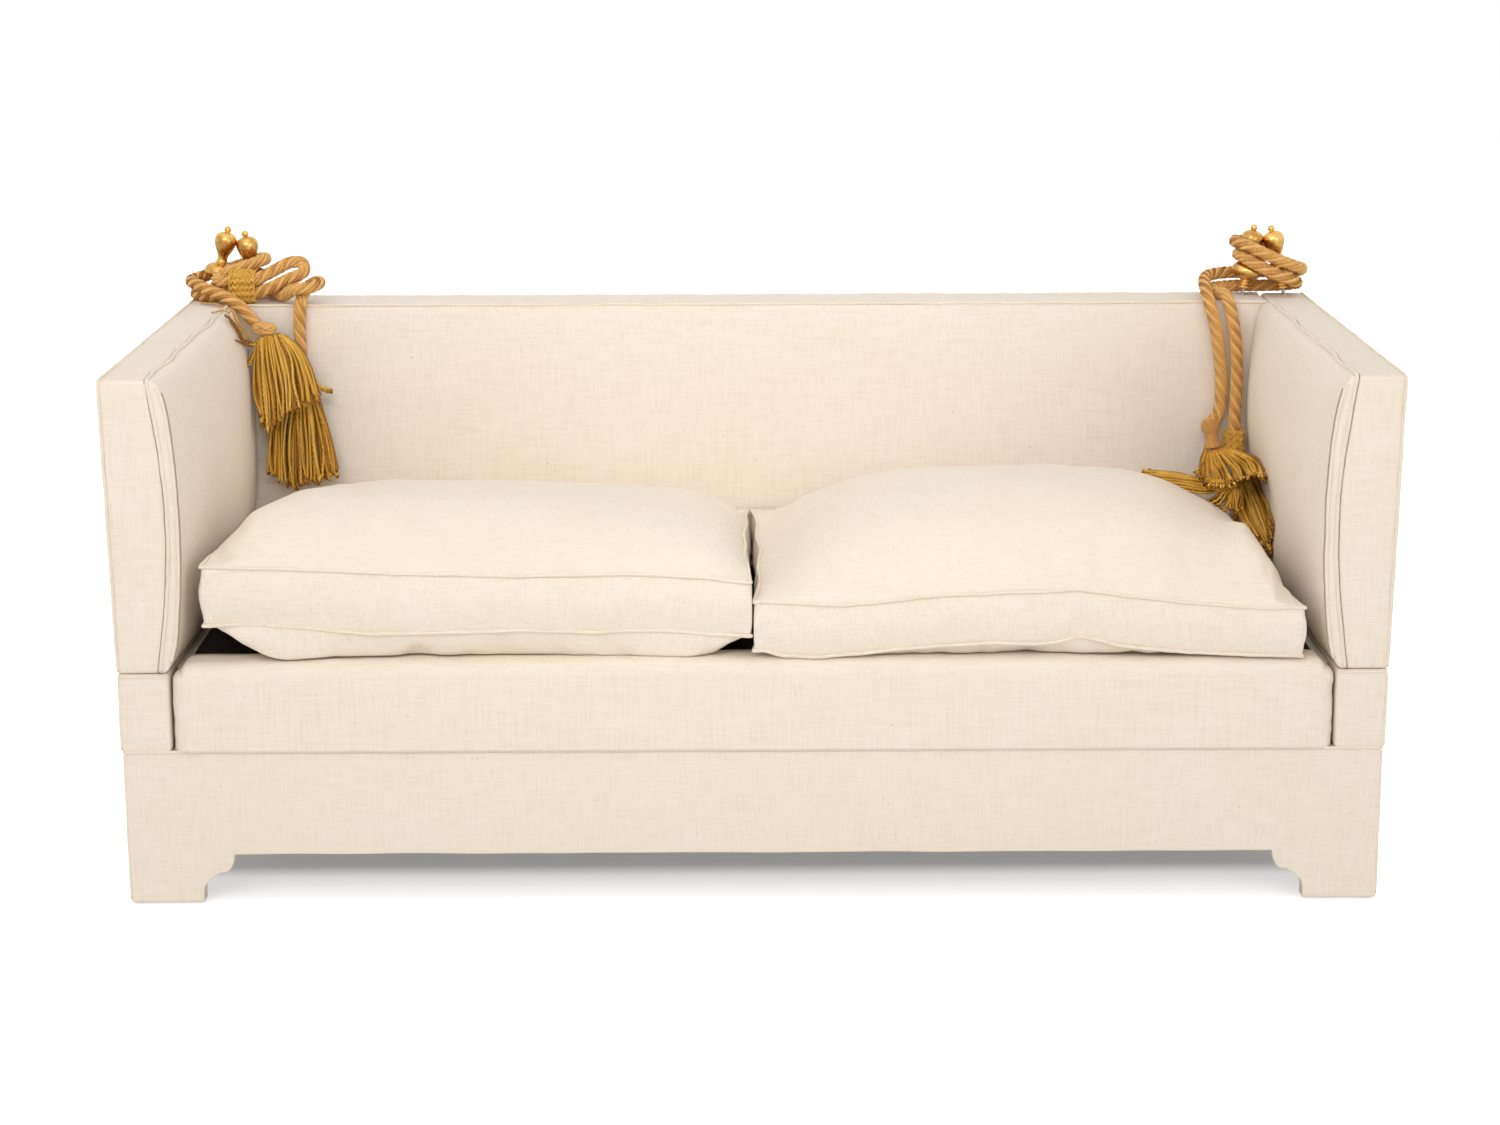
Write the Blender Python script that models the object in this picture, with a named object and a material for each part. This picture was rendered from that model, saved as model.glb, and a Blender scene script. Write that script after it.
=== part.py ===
"""Knole sofa with two drop arms, held up by ropes wound round pairs of finials.

X runs to the sitter's left as seen from the front (picture right), Y to the back, Z up.
The origin is on the floor under the middle of the sofa. All sizes are in metres.
"""

from math import cos, pi, radians, sin, sqrt

import bmesh
import bpy
from mathutils import Matrix, Vector

# Overall body
WIDTH = 1.970  # across the outsides at the arm hinge seam
DEPTH = 0.890  # plinth front to outside back
SEAM_Z = 0.3763  # where the arms stand on the side rails
TOP_Z = 0.8374  # top of arms and back
PLINTH_Z = 0.2494  # top of the plinth band
ARM_LEAN = radians(1.1)  # the arms lean outwards a little
FIT = 0.0003  # running and seating gap between neighbouring pieces
OVERRUN = 0.010  # how far cutting bodies run past the surface they cut

# Plinth with bracket feet
PLINTH_SET_IN = 0.0034  # the plinth's outsides stand in from the side rails' by this
PLINTH_BOARD = 0.028
RAIL_CLEAR = 0.082  # underside of the rail above the floor
FOOT_GAP = 0.004  # feet stand this far above the floor, on glides
FOOT_WIDTH = 0.116
SIDE_FOOT_WIDTH = 0.110
BRACKET_LOW_RUN = 0.028
BRACKET_TOP_RUN = 0.018
BRACKET_RISER = 0.018
BRACKET_STEP = 0.004
PLINTH_ROUND = 0.003

# Corner blocks and glides
BLOCK_SIDE = 0.060
BLOCK_CHAMFER = 0.030
GLIDE_RADIUS = 0.014
GLIDE_THICK = 0.0037
GLIDE_EDGE = 0.001

# Side rails under the arms, front edge roll, deck and webbing
SIDE_RAIL_WIDTH = 0.0780
RAIL_ROUND = 0.005
ROLL_DEPTH = 0.084
ROLL_TOP = 0.396
ROLL_ROUND = 0.026
ROLL_END_GAP = 0.003
DECK_THICK = 0.040
DECK_TOP = 0.3668
DECK_ROUND = 0.008
WEB_WIDTH = 0.050
WEB_THICK = 0.003
WEB_ROWS = 4
WEB_COLUMNS = 8

# Back
BACK_THICK = 0.110
BACK_CROWN = 0.014
INSIDE_BACK_PAD = 0.038
BACK_TOP_PAD = 0.022
BACK_END_PAD = 0.022
OUTSIDE_BACK = 0.007
ARM_TO_BACK = 0.003  # slot between an arm and the end of the back

# Arms
ARM_BOTTOM_WIDTH = 0.0655
ARM_TOP_WIDTH = 0.0750
ARM_BOW = 0.0225  # the inner edge of the front panel swells by this
ARM_WALL = 0.012
ARM_LEVELS = 12
ARM_SECTIONS = 8
PAD_HEM = 0.003  # the pad's thickness where it is sewn down at its top and bottom
PAD_FULL = 0.0365
PAD_CROWN = 0.0150
PAD_TO_BACK = 0.004
PAD_SEAT = 0.0006  # the pad's back clears the flat facets of the cover
PAD_COLUMNS = 12
PAD_ROWS = 12

# Butt hinges
HINGE_LENGTH = 0.076
HINGE_LEAF = 0.030
HINGE_PLATE = 0.0025
BARREL_RADIUS = 0.0045
HINGE_PIN_RADIUS = 0.0022
PIN_PLAY = 0.0003
KNUCKLES = 5
HINGE_FROM_END = 0.175
HINGE_HEAD = 0.0032
HINGE_HEAD_THICK = 0.0016
KNUCKLE_SIDES = 8
KNUCKLE_WELD = 0.0030  # how near to the axis a leaf's tongues run into its knuckles

# Seat cushions
CUSHION_END_ROOM = 0.056  # from a side rail's inner face, room for the arm's pad
CUSHION_SET_BACK = 0.006
CUSHION_TO_BACK = 0.010  # clear of the back's fullest part
CUSHION_BOXING = 0.090
CUSHION_DRAW = 0.012  # the sides draw in between the corners
CUSHION_GAP = 0.003  # from the middle line
CUSHION_COLUMNS = 20
CUSHION_ROWS = 18
LEFT_LIFT = 0.0455  # underside of the boxing above the edge roll
LEFT_CROWN = 0.094
LEFT_DROP = 0.0385  # the rear lies this much lower, behind the edge roll
RIGHT_LIFT = 0.0085
RIGHT_CROWN = 0.146
RIGHT_DROP = 0.034

# Finials on their pins
PIN_RADIUS = 0.0032
PIN_SIDES = 12
PIN_BURIED = 0.045
PIN_IN_FINIAL = 0.020
FINIAL_FROM_REAR = 0.030
BACK_FINIAL_IN = 0.03385  # from the end of the back
ARM_FINIAL_IN = 0.03685  # from the arm's outer top edge
BACK_FINIAL_LEAN = radians(8)
ARM_FINIAL_LEAN = radians(13)
PIN_SHOWS = {"left_back": 0.008, "left_arm": 0.018, "right_back": 0.013, "right_arm": 0.013}
TURNING_SIDES = 15
# Radius and height of each turning of a finial, from its foot up
FINIAL_PROFILE = (
    (0.0105, 0.0),
    (0.0125, 0.0012),
    (0.0125, 0.0042),
    (0.0104, 0.0056),
    (0.0118, 0.0072),
    (0.0118, 0.0102),
    (0.0088, 0.0124),
    (0.0094, 0.0160),
    (0.0150, 0.0172),
    (0.0215, 0.0202),
    (0.0256, 0.0248),
    (0.0270, 0.0308),
    (0.0260, 0.0368),
    (0.0222, 0.0420),
    (0.0160, 0.0458),
    (0.0108, 0.0478),
    (0.0108, 0.0500),
    (0.0076, 0.0518),
    (0.0062, 0.0548),
    (0.0066, 0.0596),
    (0.0086, 0.0634),
    (0.0122, 0.0700),
    (0.0158, 0.0778),
    (0.0178, 0.0862),
    (0.0176, 0.0930),
    (0.0148, 0.0990),
    (0.0096, 0.1028),
    (0.0044, 0.1044),
    (0.0042, 0.1058),
    (0.0056, 0.1086),
    (0.0052, 0.1122),
    (0.0028, 0.1144),
    (0.0, 0.1150),
)

# Rope, slides and tassels
ROPE_RADIUS = 0.0110
ROPE_BUTT = 0.0003  # between the faces of two lengths of the rope
ROPE_STEP = 0.0125
CURVE_STEP = 0.002
SLIDE_WALL = 0.0041
SLIDE_SWELL = 0.0015
SLIDE_LENGTH = 0.043
SLIDE_SIDES = 20
TASSEL_HEAD_RADIUS = 0.0165
TASSEL_FLAT_SHARE = 0.46
TASSEL_SIDES = 18
# Route of each rope through space, from the outer tassel to the inner one
LEFT_ROUTE = (
    (-0.8680, 0.3020, 0.8100),
    (-0.8915, 0.3080, 0.8360),
    (-0.9190, 0.3205, 0.8525),
    (-0.9485, 0.3385, 0.8615),
    (-0.9745, 0.3625, 0.8685),
    (-0.9925, 0.3915, 0.8715),
    (-0.9945, 0.4130, 0.8725),
    (-0.9855, 0.4325, 0.8740),
    (-0.9635, 0.4490, 0.8785),
    (-0.9305, 0.4540, 0.8880),
    (-0.8975, 0.4495, 0.8990),
    (-0.8745, 0.4375, 0.9065),
    (-0.8660, 0.4255, 0.9080),
    (-0.8645, 0.4110, 0.9090),
    (-0.8715, 0.3980, 0.9070),
    (-0.8935, 0.3850, 0.9000),
    (-0.9245, 0.3770, 0.8900),
    (-0.9375, 0.3730, 0.8850),
    (-0.9425, 0.3665, 0.8815),
    (-0.9410, 0.3575, 0.8785),
    (-0.9345, 0.3505, 0.8770),
    (-0.9260, 0.3495, 0.8794),
    (-0.9125, 0.3530, 0.8794),
    (-0.8765, 0.3525, 0.8795),
    (-0.8450, 0.3595, 0.8930),
    (-0.8150, 0.3650, 0.9080),
    (-0.8000, 0.3645, 0.9100),
    (-0.7915, 0.3630, 0.9080),
    (-0.7870, 0.3590, 0.9030),
    (-0.7870, 0.3545, 0.8960),
    (-0.7925, 0.3500, 0.8900),
    (-0.8155, 0.3470, 0.8810),
    (-0.8465, 0.3490, 0.8660),
    (-0.8740, 0.3520, 0.8561),
    (-0.9100, 0.3515, 0.8561),
    (-0.9435, 0.3605, 0.8515),
    (-0.9725, 0.3790, 0.8490),
    (-0.9850, 0.3965, 0.8490),
    (-0.9880, 0.4115, 0.8490),
    (-0.9835, 0.4260, 0.8495),
    (-0.9680, 0.4400, 0.8495),
    (-0.9350, 0.4480, 0.8500),
    (-0.9000, 0.4465, 0.8500),
    (-0.8680, 0.4355, 0.8500),
    (-0.8495, 0.4145, 0.8500),
    (-0.8365, 0.3820, 0.8500),
    (-0.8220, 0.3500, 0.8530),
    (-0.8070, 0.3270, 0.8635),
    (-0.7980, 0.3205, 0.8680),
    (-0.7825, 0.3180, 0.8695),
    (-0.7690, 0.3225, 0.8715),
    (-0.7610, 0.3335, 0.8745),
    (-0.7600, 0.3470, 0.8760),
    (-0.7640, 0.3550, 0.8755),
    (-0.7705, 0.3605, 0.8735),
    (-0.7780, 0.3620, 0.8690),
    (-0.7840, 0.3590, 0.8635),
    (-0.7890, 0.3485, 0.8555),
    (-0.7895, 0.3265, 0.8470),
    (-0.7915, 0.3215, 0.8370),
    (-0.7935, 0.3185, 0.8015),
    (-0.7930, 0.3165, 0.7655),
    (-0.7915, 0.3130, 0.7295),
    (-0.7900, 0.3100, 0.7120),
)
RIGHT_ROUTE = (
    (0.8175, 0.3080, 0.6215),
    (0.8300, 0.3140, 0.6400),
    (0.8340, 0.3160, 0.6875),
    (0.8300, 0.3135, 0.7350),
    (0.8230, 0.3120, 0.7820),
    (0.8125, 0.3175, 0.8280),
    (0.8060, 0.3310, 0.8515),
    (0.8060, 0.3670, 0.8675),
    (0.8185, 0.4110, 0.8730),
    (0.8455, 0.4400, 0.8740),
    (0.8900, 0.4535, 0.8740),
    (0.9375, 0.4545, 0.8745),
    (0.9715, 0.4445, 0.8765),
    (0.9840, 0.4255, 0.8805),
    (0.9835, 0.4025, 0.8870),
    (0.9685, 0.3855, 0.8935),
    (0.9260, 0.3785, 0.9100),
    (0.8840, 0.3885, 0.9300),
    (0.8705, 0.4000, 0.9330),
    (0.8665, 0.4170, 0.9340),
    (0.8725, 0.4330, 0.9330),
    (0.8965, 0.4465, 0.9285),
    (0.9205, 0.4495, 0.9265),
    (0.9270, 0.4495, 0.9190),
    (0.9280, 0.4490, 0.9100),
    (0.9230, 0.4480, 0.9030),
    (0.8995, 0.4425, 0.9040),
    (0.8765, 0.4275, 0.9100),
    (0.8725, 0.4165, 0.9110),
    (0.8775, 0.4000, 0.9085),
    (0.8935, 0.3845, 0.9000),
    (0.9350, 0.3750, 0.8800),
    (0.9600, 0.3805, 0.8705),
    (0.9755, 0.4010, 0.8620),
    (0.9765, 0.4225, 0.8570),
    (0.9670, 0.4355, 0.8535),
    (0.9225, 0.4480, 0.8500),
    (0.8755, 0.4460, 0.8500),
    (0.8340, 0.4285, 0.8495),
    (0.8235, 0.4100, 0.8495),
    (0.8275, 0.3645, 0.8500),
    (0.8400, 0.3247, 0.8465),
    (0.8515, 0.3140, 0.8005),
    (0.8575, 0.3115, 0.7535),
    (0.8590, 0.3090, 0.7055),
    (0.8580, 0.3050, 0.6580),
    (0.8570, 0.3030, 0.6100),
    (0.8570, 0.3020, 0.5620),
)
# Side, route, and the route points where the winding begins and ends
ROPES = (("left", LEFT_ROUTE, 3, 45), ("right", RIGHT_ROUTE, 7, 40))
# Name, middle, way along the rope, way from strand to strand, the space between strands, and the play
SLIDES = (
    ("left_rope_slide", (-0.896, 0.3523, 0.8678), (1, 0, 0), (0, 0, 1), 0.023, 0.0016),
    ("right_rope_slide", (0.857, 0.3025, 0.590), (0, 0.02, 1), (1, 0, 0), 0.0, 0.0011),
)
# Name, how far the rope's line is kept up, middle of the hem, half its spread, and the tilt of the hem
TASSELS = (
    ("left_tassel_outer", 0.040, (-0.818, 0.250, 0.640), 0.048, 0.0),
    ("left_tassel_inner", 0.060, (-0.781, 0.287, 0.5165), 0.062, 0.0),
    ("right_tassel_outer", 0.036, (0.832, 0.243, 0.548), 0.038, -0.17),
    ("right_tassel_inner", 0.048, (0.844, 0.205, 0.494), 0.028, -0.80),
)
# How wide a tassel is, in shares of its head and then of its spread, down shares of its length
TASSEL_HEAD_SHARES = ((0.0, 0.45), (0.02, 0.85), (0.06, 1.0), (0.10, 0.94), (0.135, 0.80))
TASSEL_SKIRT_SHARES = ((0.18, 0.42), (0.32, 0.58), (0.55, 0.76), (0.80, 0.92), (0.97, 1.0), (1.0, 0.94))

FRONT_Y = -DEPTH / 2
REAR_Y = DEPTH / 2
HALF = WIDTH / 2
RAIL_BOTTOM = PLINTH_Z + FIT
BACK_FRONT = REAR_Y - BACK_THICK
ARM_OUT = (TOP_Z - SEAM_Z) * sin(ARM_LEAN) / cos(ARM_LEAN)
BACK_HALF = HALF + ARM_OUT - ARM_TOP_WIDTH - ARM_TO_BACK
RAIL_INNER = HALF - SIDE_RAIL_WIDTH
PLINTH_HALF = HALF - PLINTH_SET_IN
BACK_FINIAL_X = BACK_HALF - BACK_FINIAL_IN
ARM_FINIAL_X = HALF + ARM_OUT - ARM_FINIAL_IN
CUSHION_LENGTH = RAIL_INNER - CUSHION_END_ROOM - CUSHION_GAP
CUSHION_DEPTH = BACK_FRONT - BACK_CROWN - CUSHION_TO_BACK - FRONT_Y - CUSHION_SET_BACK
HINGE_X = HALF + BARREL_RADIUS + FIT
HINGE_PLACES = (("front", FRONT_Y + HINGE_FROM_END), ("rear", REAR_Y - HINGE_FROM_END))
SIDES = (("left", -1), ("right", 1))


def clear_scene():
    for old in list(bpy.data.objects):
        bpy.data.objects.remove(old, do_unlink=True)


def material(name, colour, roughness, metallic=0.0):
    made = bpy.data.materials.new(name)
    made.use_nodes = True
    shader = made.node_tree.nodes["Principled BSDF"]
    shader.inputs["Base Color"].default_value = (*colour, 1.0)
    shader.inputs["Roughness"].default_value = roughness
    shader.inputs["Metallic"].default_value = metallic
    made.diffuse_color = (*colour, 1.0)
    return made


def add(name, mesh, colour):
    made = bpy.data.objects.new(name, mesh)
    made.data.materials.append(colour)
    bpy.context.scene.collection.objects.link(made)
    return made


def mesh_from(name, bm):
    bmesh.ops.recalc_face_normals(bm, faces=bm.faces)
    mesh = bpy.data.meshes.new(name)
    bm.to_mesh(mesh)
    bm.free()
    return mesh


def block(name, low, high, colour, round_by=0.0, segments=2):
    """A box between two corners, with rounded edges if asked."""
    bm = bmesh.new()
    size = [b - a for a, b in zip(low, high)]
    middle = [(a + b) / 2 for a, b in zip(low, high)]
    bmesh.ops.create_cube(bm, size=1.0, matrix=Matrix.Translation(middle) @ Matrix.Diagonal((*size, 1)))
    made = add(name, mesh_from(name, bm), colour)
    if round_by:
        bevel(made, round_by, segments)
    return made


def bevel(made, width, segments=2):
    rounding = made.modifiers.new("rounding", "BEVEL")
    rounding.width = width
    rounding.segments = segments
    rounding.limit_method = "ANGLE"
    rounding.angle_limit = radians(40)
    return rounding


def cut(made, *cutters):
    for cutter in cutters:
        cutter.hide_render = True
        cutter.display_type = "WIRE"
        boolean = made.modifiers.new("cut", "BOOLEAN")
        boolean.operation = "DIFFERENCE"
        boolean.solver = "EXACT"
        boolean.object = cutter


def extrude_outline(name, points, axis, start, end, colour):
    """A prism of a closed outline in the plane across an axis (0 for X, 1 for Y, 2 for Z)."""
    bm = bmesh.new()

    def place(u, v, along):
        return ((along, u, v), (u, along, v), (u, v, along))[axis]

    first = [bm.verts.new(place(u, v, start)) for u, v in points]
    last = [bm.verts.new(place(u, v, end)) for u, v in points]
    bm.faces.new(first)
    bm.faces.new(last)
    count = len(points)
    for i in range(count):
        bm.faces.new((first[i], first[(i + 1) % count], last[(i + 1) % count], last[i]))
    return add(name, mesh_from(name, bm), colour)


def smooth(made, angle=radians(38)):
    made.data.shade_smooth()
    made.data.set_sharp_from_angle(angle=angle)


def turned(name, profile, sides, place, colour):
    """A solid turned about its own Z from (radius, height) pairs, bottom to top."""
    bm = bmesh.new()
    rings = []
    for radius, height in profile:
        if radius < FIT:
            rings.append([bm.verts.new((0, 0, height))])
            continue
        turns = [2 * pi * i / sides for i in range(sides)]
        rings.append([bm.verts.new((radius * cos(t), radius * sin(t), height)) for t in turns])
    for lower, upper in zip(rings, rings[1:]):
        for i in range(max(len(lower), len(upper))):
            corners = [
                lower[i % len(lower)],
                lower[(i + 1) % len(lower)],
                upper[(i + 1) % len(upper)],
                upper[i % len(upper)],
            ]
            bm.faces.new(dict.fromkeys(corners))
    for ring in (rings[0], rings[-1]):
        if len(ring) > 1:
            bm.faces.new(ring)
    made = add(name, mesh_from(name, bm), colour)
    made.matrix_world = place
    smooth(made)
    return made


def bracket_outline(half, foot):
    """A plinth rail seen square on, with a bracket foot at each end, from the left foot round."""
    rise = RAIL_CLEAR - FOOT_GAP
    inner = half - foot
    low_run = BRACKET_LOW_RUN
    step_z = FOOT_GAP + BRACKET_RISER + (rise - BRACKET_RISER) / 2
    side = [(half, FOOT_GAP), (inner, FOOT_GAP), (inner, FOOT_GAP + BRACKET_RISER)]
    steps = 4
    for i in range(1, steps + 1):
        turn = pi / 2 * i / steps
        drop = step_z - FOOT_GAP - BRACKET_RISER
        side.append((inner - low_run * sin(turn) ** 2, FOOT_GAP + BRACKET_RISER + drop * sin(turn)))
    ledge = inner - low_run - BRACKET_STEP
    for i in range(steps + 1):
        turn = pi / 2 * i / steps
        side.append((ledge - BRACKET_TOP_RUN * sin(turn), step_z + (RAIL_CLEAR - step_z) * (1 - cos(turn))))
    left = [(-u, v) for u, v in side]
    return [(-half, PLINTH_Z)] + left + side[::-1] + [(half, PLINTH_Z)]


def make_plinth(linen):
    outline = bracket_outline(PLINTH_HALF, FOOT_WIDTH)
    ends = ((FRONT_Y, FRONT_Y + PLINTH_BOARD), (REAR_Y - PLINTH_BOARD, REAR_Y))
    for name, (start, end) in zip(("plinth_front", "plinth_rear"), ends):
        bevel(extrude_outline(name, outline, 1, start, end, linen), PLINTH_ROUND, 1)
    half = DEPTH / 2 - PLINTH_BOARD - FIT
    outline = bracket_outline(half, SIDE_FOOT_WIDTH - PLINTH_BOARD)
    for side, sign in SIDES:
        start, end = sorted((sign * PLINTH_HALF, sign * (PLINTH_HALF - PLINTH_BOARD)))
        bevel(extrude_outline(f"plinth_{side}", outline, 0, start, end, linen), PLINTH_ROUND, 1)


def make_blocks_and_glides(beech, dark):
    """Corner blocks glued behind the bracket feet, each standing on a nailed glide."""
    outer_x = PLINTH_HALF - PLINTH_BOARD - FIT
    outer_y = DEPTH / 2 - PLINTH_BOARD - FIT
    inner_x, inner_y = outer_x - BLOCK_SIDE, outer_y - BLOCK_SIDE
    for side, sx in SIDES:
        for end, sy in (("front", -1), ("rear", 1)):
            outline = [
                (sx * outer_x, sy * outer_y),
                (sx * inner_x, sy * outer_y),
                (sx * inner_x, sy * (inner_y + BLOCK_CHAMFER)),
                (sx * (inner_x + BLOCK_CHAMFER), sy * inner_y),
                (sx * outer_x, sy * inner_y),
            ]
            name = f"corner_block_{end}_{side}"
            extrude_outline(name, outline, 2, FOOT_GAP, PLINTH_Z, beech)
            profile = [
                (GLIDE_RADIUS - GLIDE_EDGE, 0),
                (GLIDE_RADIUS, GLIDE_EDGE),
                (GLIDE_RADIUS, GLIDE_THICK),
            ]
            middle = (sx * (outer_x - BLOCK_SIDE / 2), sy * (outer_y - BLOCK_SIDE / 2), 0)
            turned(f"glide_{end}_{side}", profile, TURNING_SIDES, Matrix.Translation(middle), dark)


def make_side_rails(linen):
    for side, sign in SIDES:
        x = sorted((sign * HALF, sign * RAIL_INNER))
        low, high = (x[0], FRONT_Y, RAIL_BOTTOM), (x[1], REAR_Y, SEAM_Z - FIT)
        rail = block(f"{side}_side_rail", low, high, linen, RAIL_ROUND)
        cut(rail, *leaf_recesses(side, sign, -1))


def make_edge_roll(linen):
    half = RAIL_INNER - ROLL_END_GAP
    low = (-half, FRONT_Y, RAIL_BOTTOM)
    high = (half, FRONT_Y + ROLL_DEPTH, ROLL_TOP)
    made = block("front_edge_roll", low, high, linen)
    bm = bmesh.new()
    bm.from_mesh(made.data)
    top = [e for e in bm.edges if all(abs(v.co.z - ROLL_TOP) < FIT for v in e.verts)]
    bmesh.ops.bevel(bm, geom=top, offset=ROLL_ROUND, segments=5, profile=0.5, affect="EDGES")
    bm.to_mesh(made.data)
    bm.free()
    smooth(made)


def make_deck(hessian, jute):
    """The padded seat platform, and the crossed webbing under it."""
    half = RAIL_INNER - FIT
    front, rear = FRONT_Y + ROLL_DEPTH + FIT, BACK_FRONT - BACK_CROWN - FIT
    under = DECK_TOP - DECK_THICK
    block("seat_deck", (-half, front, under), (half, rear, DECK_TOP), hessian, DECK_ROUND)
    web = block("seat_webbing", (-half, front, under - WEB_THICK - FIT), (half, rear, under - FIT), jute)
    pitch_x = (half + half - WEB_WIDTH) / WEB_COLUMNS
    pitch_y = (rear - front - WEB_WIDTH) / WEB_ROWS
    bm = bmesh.new()
    for i in range(WEB_COLUMNS):
        for j in range(WEB_ROWS):
            middle = (
                -half + WEB_WIDTH / 2 + pitch_x * (i + 1 / 2),
                front + WEB_WIDTH / 2 + pitch_y * (j + 1 / 2),
                under - FIT - WEB_THICK / 2,
            )
            size = (pitch_x - WEB_WIDTH, pitch_y - WEB_WIDTH, WEB_THICK + OVERRUN)
            bmesh.ops.create_cube(
                bm, size=1.0, matrix=Matrix.Translation(middle) @ Matrix.Diagonal((*size, 1))
            )
    cut(web, add("webbing_gaps", mesh_from("webbing_gaps", bm), jute))


def between_surfaces(name, near, far, columns, rows, colour):
    """A closed solid between two surfaces, each a function of shares across and up from -1 to 1."""
    bm = bmesh.new()

    def grid(surface):
        us = [sin(pi / 2 * (2 * i / columns - 1)) for i in range(columns + 1)]
        vs = [sin(pi / 2 * (2 * j / rows - 1)) for j in range(rows + 1)]
        return [[bm.verts.new(surface(u, v)) for u in us] for v in vs]

    first, second = grid(near), grid(far)
    for sheet in (first, second):
        for lower, upper in zip(sheet, sheet[1:]):
            for i in range(columns):
                bm.faces.new((lower[i], lower[i + 1], upper[i + 1], upper[i]))

    def rim(sheet):
        right = [row[-1] for row in sheet[1:-1]]
        left = [row[0] for row in sheet[1:-1]]
        return sheet[0] + right + sheet[-1][::-1] + left[::-1]

    one, two = rim(first), rim(second)
    for i in range(len(one)):
        j = (i + 1) % len(one)
        bm.faces.new((one[i], one[j], two[j], two[i]))
    made = add(name, mesh_from(name, bm), colour)
    smooth(made)
    return made


def swell(share, power=4):
    """1 in the middle of a panel, falling to 0 at its edges."""
    return 1 - abs(share) ** power


def make_back(linen, beech):
    """The inner frame, the padded inside back that wraps its top and ends, and the outside panel."""
    rear = REAR_Y - OUTSIDE_BACK - FIT
    middle_z, half_z = (RAIL_BOTTOM + TOP_Z) / 2, (TOP_Z - RAIL_BOTTOM) / 2

    def face(u, v):
        y = BACK_FRONT - BACK_CROWN * swell(u) * swell(v)
        return (u * BACK_HALF, y, middle_z + v * half_z)

    def seam(u, v):
        return (u * BACK_HALF, rear, middle_z + v * half_z)

    inside = between_surfaces("inside_back", face, seam, PAD_COLUMNS, PAD_ROWS // 2, linen)
    end = BACK_HALF - BACK_END_PAD
    front = BACK_FRONT + INSIDE_BACK_PAD
    top = TOP_Z - BACK_TOP_PAD
    pocket = block("back_pocket", (-end, front, RAIL_BOTTOM - OVERRUN), (end, rear + OVERRUN, top), linen)
    low = (FIT - end, front + FIT, RAIL_BOTTOM)
    frame = block("back_frame", low, (end - FIT, rear, top - FIT), beech)
    panel = block("outside_back", (-BACK_HALF, rear + FIT, RAIL_BOTTOM), (BACK_HALF, REAR_Y, TOP_Z), linen)
    shoulders = []
    for side, sign in SIDES:
        x = sorted((sign * (RAIL_INNER - FIT), sign * (HALF + OVERRUN)))
        low = (x[0], BACK_FRONT - INSIDE_BACK_PAD, RAIL_BOTTOM - OVERRUN)
        shoulders.append(block(f"{side}_shoulder", low, (x[1], REAR_Y + OVERRUN, SEAM_Z), linen))
    holes = [pin_hole(f"{side}_back", *back_pin(side, sign)) for side, sign in SIDES]
    cut(inside, pocket, *holes, *shoulders)
    cut(panel, *shoulders)
    cut(frame, *holes)


def arm_outside(z):
    return HALF + (z - SEAM_Z) * sin(ARM_LEAN) / cos(ARM_LEAN)


def arm_inside(z):
    """The straight inner face of an arm, from its foot to its top."""
    share = (z - SEAM_Z) / (TOP_Z - SEAM_Z)
    foot = HALF - ARM_BOTTOM_WIDTH
    top = arm_outside(TOP_Z) - ARM_TOP_WIDTH
    return foot + (top - foot) * share


def arm_bow(z, y):
    """How far the front of the inner face swells towards the seat. It dies away before the back."""
    up = min(max((z - SEAM_Z) / (TOP_Z - SEAM_Z), 0), 1)
    along = min(max((y - FRONT_Y) / (BACK_FRONT - FRONT_Y), 0), 1)
    return ARM_BOW * sin(pi * up) * (1 - along) ** 2


def arm_box(name, sign, inset, base, colour):
    """The body of an arm as sections from front to rear, taken in all round by inset."""
    top = TOP_Z - inset
    start, end = FRONT_Y + inset, REAR_Y - inset
    sections = []
    bm = bmesh.new()
    for i in range(ARM_SECTIONS + 1):
        y = start + (end - start) * (i / ARM_SECTIONS)
        levels = [base + (top - base) * j / ARM_LEVELS for j in range(ARM_LEVELS + 1)]
        outline = [(arm_outside(base) - inset, base)]
        outline += [(arm_inside(z) - arm_bow(z, y) + inset, z) for z in levels]
        outline.append((arm_outside(top) - inset, top))
        sections.append([bm.verts.new((sign * x, y, z)) for x, z in outline])
    for near, far in zip(sections, sections[1:]):
        for i in range(len(near)):
            j = (i + 1) % len(near)
            bm.faces.new((near[i], near[j], far[j], far[i]))
    bm.faces.new(sections[0])
    bm.faces.new(sections[-1])
    return add(name, mesh_from(name, bm), colour)


def make_arms(linen, beech):
    """Each arm is a linen cover, open below, over an inner frame."""
    for side, sign in SIDES:
        base = SEAM_Z + FIT
        cover = arm_box(f"{side}_arm_cover", sign, 0, base, linen)
        hollow = arm_box(f"{side}_arm_hollow", sign, ARM_WALL, base - OVERRUN, linen)
        frame = arm_box(f"{side}_arm_frame", sign, ARM_WALL + FIT, base, beech)
        hole = pin_hole(f"{side}_arm", *arm_pin(side, sign))
        recesses = leaf_recesses(side, sign, 1)
        cut(cover, hollow, hole, *recesses)
        cut(frame, hole, *recesses)


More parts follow.
